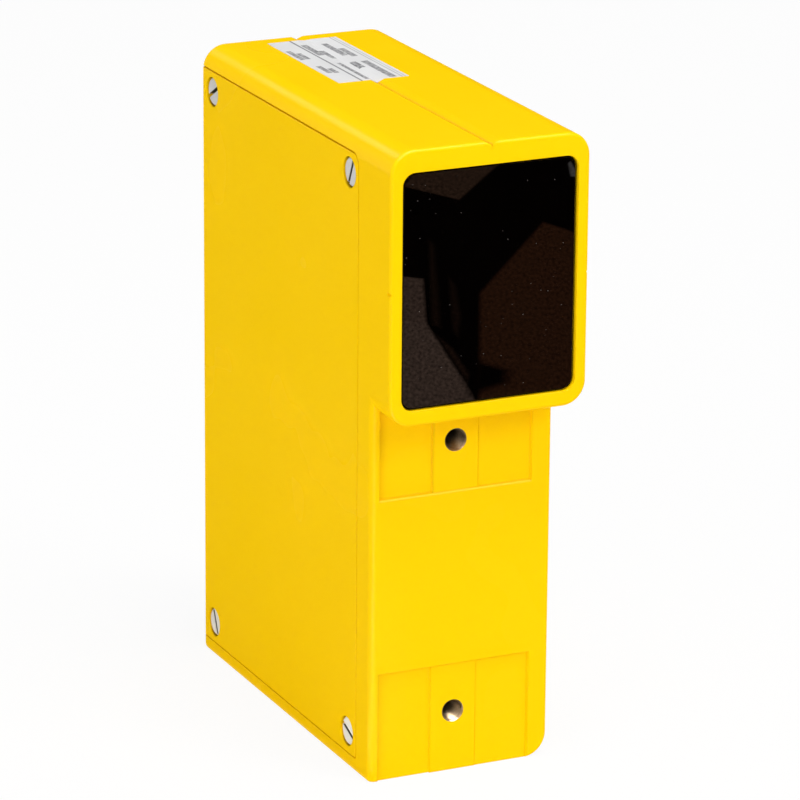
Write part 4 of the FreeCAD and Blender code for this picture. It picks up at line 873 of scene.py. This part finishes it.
def set_world(strength):
    """White all round to the eye, and an even light of its own strength on the object."""
    world = bpy.data.worlds.new("studio")
    bpy.context.scene.world = world
    world.use_nodes = True
    tree = world.node_tree
    background = tree.nodes["Background"]
    background.inputs["Color"].default_value = (1, 1, 1, 1)
    level = add_node(tree, "ShaderNodeMapRange",
                     {"Value": seen_by_eye(tree), "To Min": strength, "To Max": 1.0})
    tree.links.new(level.outputs["Result"], background.inputs["Strength"])


# Soft lamps: name, place, point lit, side, power
LAMPS = [
    ("front_box", (0.8, -1.25, 1.15), (0, 0, 0.08), 0.6, 8.9),
    ("top_box", (0.1, -0.4, 1.85), (0, 0, 0.1), 0.6, 15.7),
    ("side_box", (-1.42, -0.92, 0.4), (0, 0, 0.06), 0.9, 10.2),
]


def add_lamp(name, place, target, side, power):
    """Square soft lamp that faces a point."""
    deselect()
    bpy.ops.object.light_add(type="AREA", location=place)
    lamp = name_active(name)
    lamp.data.shape = "SQUARE"
    lamp.data.size = side
    lamp.data.energy = power
    away = Vector(place) - Vector(target)
    lamp.rotation_euler = away.to_track_quat("Z", "Y").to_euler()


# Cards that only reflections show. Each has three corners in metres: the first, the next along its
# side and the next along its rise
BRIGHT = (1.0, 0.98, 0.94)
DIM = (0.02, 0.015, 0.01)
BLACK = (0, 0, 0)
# Plain cards: name, colour, brightness, corners
PLAIN_CARDS = [
    ("dark_backdrop", DIM, 1.0, [(-0.7, 1.45, 0.0), (2.2, 1.0, 0.0), (-0.7, 1.45, 2.0)]),
    ("bright_strip", BRIGHT, 14.0,
     [(-0.050, -0.030, 0.0015), (-0.42, -0.40, 0.0015), (0.000, -0.080, 0.0015)]),
    ("bright_corner", BRIGHT, 32.0,
     [(0.175, -0.091, 1.299), (-0.745, -0.260, 1.039), (0.393, -0.790, 0.983)]),
    ("bright_rim", BRIGHT, 4.5, [(-0.42, 1.12, 0.62), (-0.14, 1.12, 0.62), (-0.42, 1.12, 0.92)]),
    ("bright_top", BRIGHT, 36.0, [(0.25, -0.85, 1.25), (0.25, -0.35, 1.25), (0.85, -0.85, 1.25)]),
    ("side_mat", DIM, 1.0, [(-0.42, -0.06, 0.001), (-0.022, -0.06, 0.001), (-0.42, 0.85, 0.001)]),
]
# Dark mat in front of the window: its corners, and lit patches with their corners in millimetres,
# tone and soft rim in millimetres
MAT_CORNERS = [(-0.03, -0.75, 0.001), (0.55, -0.75, 0.001), (-0.03, -0.055, 0.001)]
MAT_TONE = (0.004, 0.002, 0.002)
MAT_PATCHES = [
    ([(212, -558), (225, -576), (257, -574), (222, -535)], (0.30, 0.16, 0.10), 0.6),
    ([(236, -498), (240, -483), (162, -329), (131, -330), (180, -431)], (0.27, 0.10, 0.045), 0.9),
    ([(165, -458), (170, -453), (150, -408), (140, -412)], (0.52, 0.33, 0.25), 0.6),
    ([(142, -414), (150, -408), (132, -338), (128, -326), (100, -318)], (0.58, 0.38, 0.29), 0.6),
    ([(147, -366), (152, -353), (146, -342), (131, -336)], MAT_TONE, 2.5),
    ([(278, -563), (280, -565), (276, -553), (273, -546), (271, -547)], (1.0, 0.88, 0.76), 0.4),
    ([(191, -493), (190, -486), (163, -426), (152, -401), (151, -406)], (0.08, 0.04, 0.025), 0.8),
    ([(178, -450), (176, -441), (163, -410), (153, -391), (155, -399)], (0.08, 0.04, 0.025), 0.8),
    ([(147, -392), (146, -381), (139, -354), (136, -349)], (0.14, 0.07, 0.045), 0.8),
]
# Mottle of the patches: its size, how it is drawn out and turned so that it looks even in the
# window, and its darkest and lightest tone as shares
MOTTLE = 1.0 * MM
MOTTLE_DRAW = (1, 3.3, 1)
MOTTLE_TURN = math.radians(25)
MOTTLE_TONES = 0.5, 1.55
# Flag beside the mounting holes: corners, heights between which it fades, tones below and above
FLAG_CORNERS = [(-0.012, -0.0525, 0.0015), (-0.012, -0.085, 0.0015), (-0.012, -0.0525, 0.0885)]
FLAG_FADE = 0.03, 0.06
FLAG_TONES = (1.0, 0.88, 0.68), (0.06, 0.035, 0.015)


def add_card(name, corners, finish):
    """Flat card that only reflections show; it gives no light and no shadow of its own."""
    deselect()
    bpy.ops.mesh.primitive_plane_add(size=1)
    card = name_active(name)
    bpy.ops.object.mode_set(mode="EDIT")
    bpy.ops.mesh.subdivide(number_cuts=1)
    bpy.ops.object.mode_set(mode="OBJECT")
    origin, right, up = (Vector(corner) for corner in corners)
    side, rise = right - origin, up - origin
    facing = side.cross(rise).normalized()
    turn = Matrix((side, rise, facing)).transposed().to_4x4()
    card.matrix_world = Matrix.Translation((right + up) / 2) @ turn
    apply_place()
    card.data.materials.append(finish.material)
    for kind in ("camera", "diffuse", "transmission", "volume_scatter", "shadow"):
        setattr(card, "visible_" + kind, False)
    card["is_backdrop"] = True


def glow_finish(name, color, strength=1.0):
    """Card of one brightness."""
    return Finish(name, Base_Color=(0, 0, 0, 1), Roughness=1.0, Specular_IOR_Level=0.0,
                  Emission_Color=(*color, 1.0), Emission_Strength=strength)


def patch_mask(finish, corners, blur):
    """One inside a convex patch, with a soft rim."""
    parts = finish.axes()
    points = [Vector(corner) * MM for corner in corners]
    middle = sum(points, Vector((0, 0))) / len(points)
    depths = []
    for first, second in zip(points, points[1:] + points[:1]):
        along = (second - first).normalized()
        across = Vector((-along.y, along.x))
        if across.dot(middle - first) < 0:
            across = -across
        depth = finish.step("MULTIPLY_ADD", parts["X"], across.x, -across.dot(first))
        depths.append(finish.step("MULTIPLY_ADD", parts["Y"], across.y, depth))
    return finish.span(finish.least(*depths), -blur, blur, 0, 1)


def mat_finish():
    """Dark mat with soft, mottled patches."""
    finish = glow_finish("dark_mat", BLACK)
    drawn = finish.node("ShaderNodeMapping",
                        {"Vector": finish.place, "Scale": MOTTLE_DRAW,
                         "Rotation": (0, 0, MOTTLE_TURN)}, vector_type="TEXTURE").outputs[0]
    mottle = finish.span(finish.noise(MOTTLE, 3.0, drawn), 0.3, 0.7, 0, 1)
    color = MAT_TONE
    for corners, tone, blur in MAT_PATCHES:
        cloudy = finish.blend(mottle, *(shade(tone, share) for share in MOTTLE_TONES))
        color = finish.blend(patch_mask(finish, corners, blur * MM), color, cloudy)
    finish.link(color, "Emission Color")
    return finish


def flag_finish():
    """Flag that is bright below and fades upward."""
    finish = glow_finish("hole_flag", BLACK)
    fade = finish.span(finish.axes()["Z"], *FLAG_FADE, 0, 1)
    finish.link(finish.blend(fade, *FLAG_TONES), "Emission Color")
    return finish


def add_cards():
    """Mats and backdrop for dark reflections, bright cards for edges, and a flag for the holes."""
    add_card("dark_mat", MAT_CORNERS, mat_finish())
    for name, color, strength, corners in PLAIN_CARDS:
        add_card(name, corners, glow_finish(name, color, strength))
    add_card("hole_flag", FLAG_CORNERS, flag_finish())


# Camera: width of its sensor in millimetres, and how far it sees
SENSOR_WIDTH = 36.0
SIGHT = 50.0


def add_camera(settings):
    """Camera that looks at a point from a side, a height and a distance."""
    yaw, pitch, roll = settings.yaw, settings.pitch, settings.roll
    ahead = Vector((math.sin(yaw) * math.cos(pitch), math.cos(yaw) * math.cos(pitch),
                    -math.sin(pitch)))
    level = Vector((math.cos(yaw), -math.sin(yaw), 0))
    above = level.cross(ahead)
    right = level * math.cos(roll) + above * math.sin(roll)
    up = above * math.cos(roll) - level * math.sin(roll)
    place = Vector(settings.aim) - ahead * settings.distance
    data = bpy.data.cameras.new("camera")
    data.lens = settings.lens
    data.sensor_width = SENSOR_WIDTH
    data.clip_end = SIGHT
    camera = bpy.data.objects.new("camera", data)
    bpy.context.scene.collection.objects.link(camera)
    turn = Matrix((right, up, -ahead)).transposed().to_4x4()
    camera.matrix_world = Matrix.Translation(place) @ turn
    bpy.context.scene.camera = camera


class BARRIER_OT_set_stage(bpy.types.Operator):
    """Set up the pale floor, the soft lamps, the cards and the camera"""
    bl_idname = "barrier.set_stage"
    bl_label = "Set the stage"

    def execute(self, context):
        settings = context.scene.barrier_stage
        context.scene.view_settings.view_transform = "Standard"
        deselect()
        bpy.ops.mesh.primitive_plane_add(size=settings.floor_size, location=(0, 0, 0))
        floor = name_active("floor")
        floor.data.materials.append(floor_material(settings.floor, settings.floor_white))
        floor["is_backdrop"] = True
        set_world(settings.sky)
        for lamp in LAMPS:
            add_lamp(*lamp)
        add_cards()
        add_camera(settings)
        return {"FINISHED"}


OPERATORS = [BARRIER_OT_paint_housing, BARRIER_OT_finish_window, BARRIER_OT_finish_metals,
             BARRIER_OT_finish_inside, BARRIER_OT_add_label, BARRIER_OT_add_threads,
             BARRIER_OT_set_stage]
SETTINGS = {"barrier_paint": PaintSettings, "barrier_label": LabelSettings,
            "barrier_thread": ThreadSettings, "barrier_stage": StageSettings}


class BARRIER_PT_panel(bpy.types.Panel):
    """Steps and settings of the light barrier's finish"""
    bl_idname = "BARRIER_PT_panel"
    bl_label = "Light barrier"
    bl_space_type = "VIEW_3D"
    bl_region_type = "UI"
    bl_category = "Light barrier"

    def draw(self, context):
        for operator in OPERATORS:
            self.layout.operator(operator.bl_idname)
        for group in SETTINGS:
            box = self.layout.box()
            settings = getattr(context.scene, group)
            for key in settings.__annotations__:
                box.prop(settings, key)


def register():
    for kind in list(SETTINGS.values()) + OPERATORS + [BARRIER_PT_panel]:
        bpy.utils.register_class(kind)
    for group, kind in SETTINGS.items():
        setattr(bpy.types.Scene, group, PointerProperty(type=kind))


def unregister():
    for group in SETTINGS:
        delattr(bpy.types.Scene, group)
    for kind in [BARRIER_PT_panel] + OPERATORS[::-1] + list(SETTINGS.values())[::-1]:
        bpy.utils.unregister_class(kind)


def main():
    register()
    bpy.ops.barrier.paint_housing()
    bpy.ops.barrier.finish_window()
    bpy.ops.barrier.finish_metals()
    bpy.ops.barrier.finish_inside()
    bpy.ops.barrier.add_label()
    bpy.ops.barrier.add_threads()
    bpy.ops.barrier.set_stage()
    deselect()


if __name__ == "__main__":
    main()
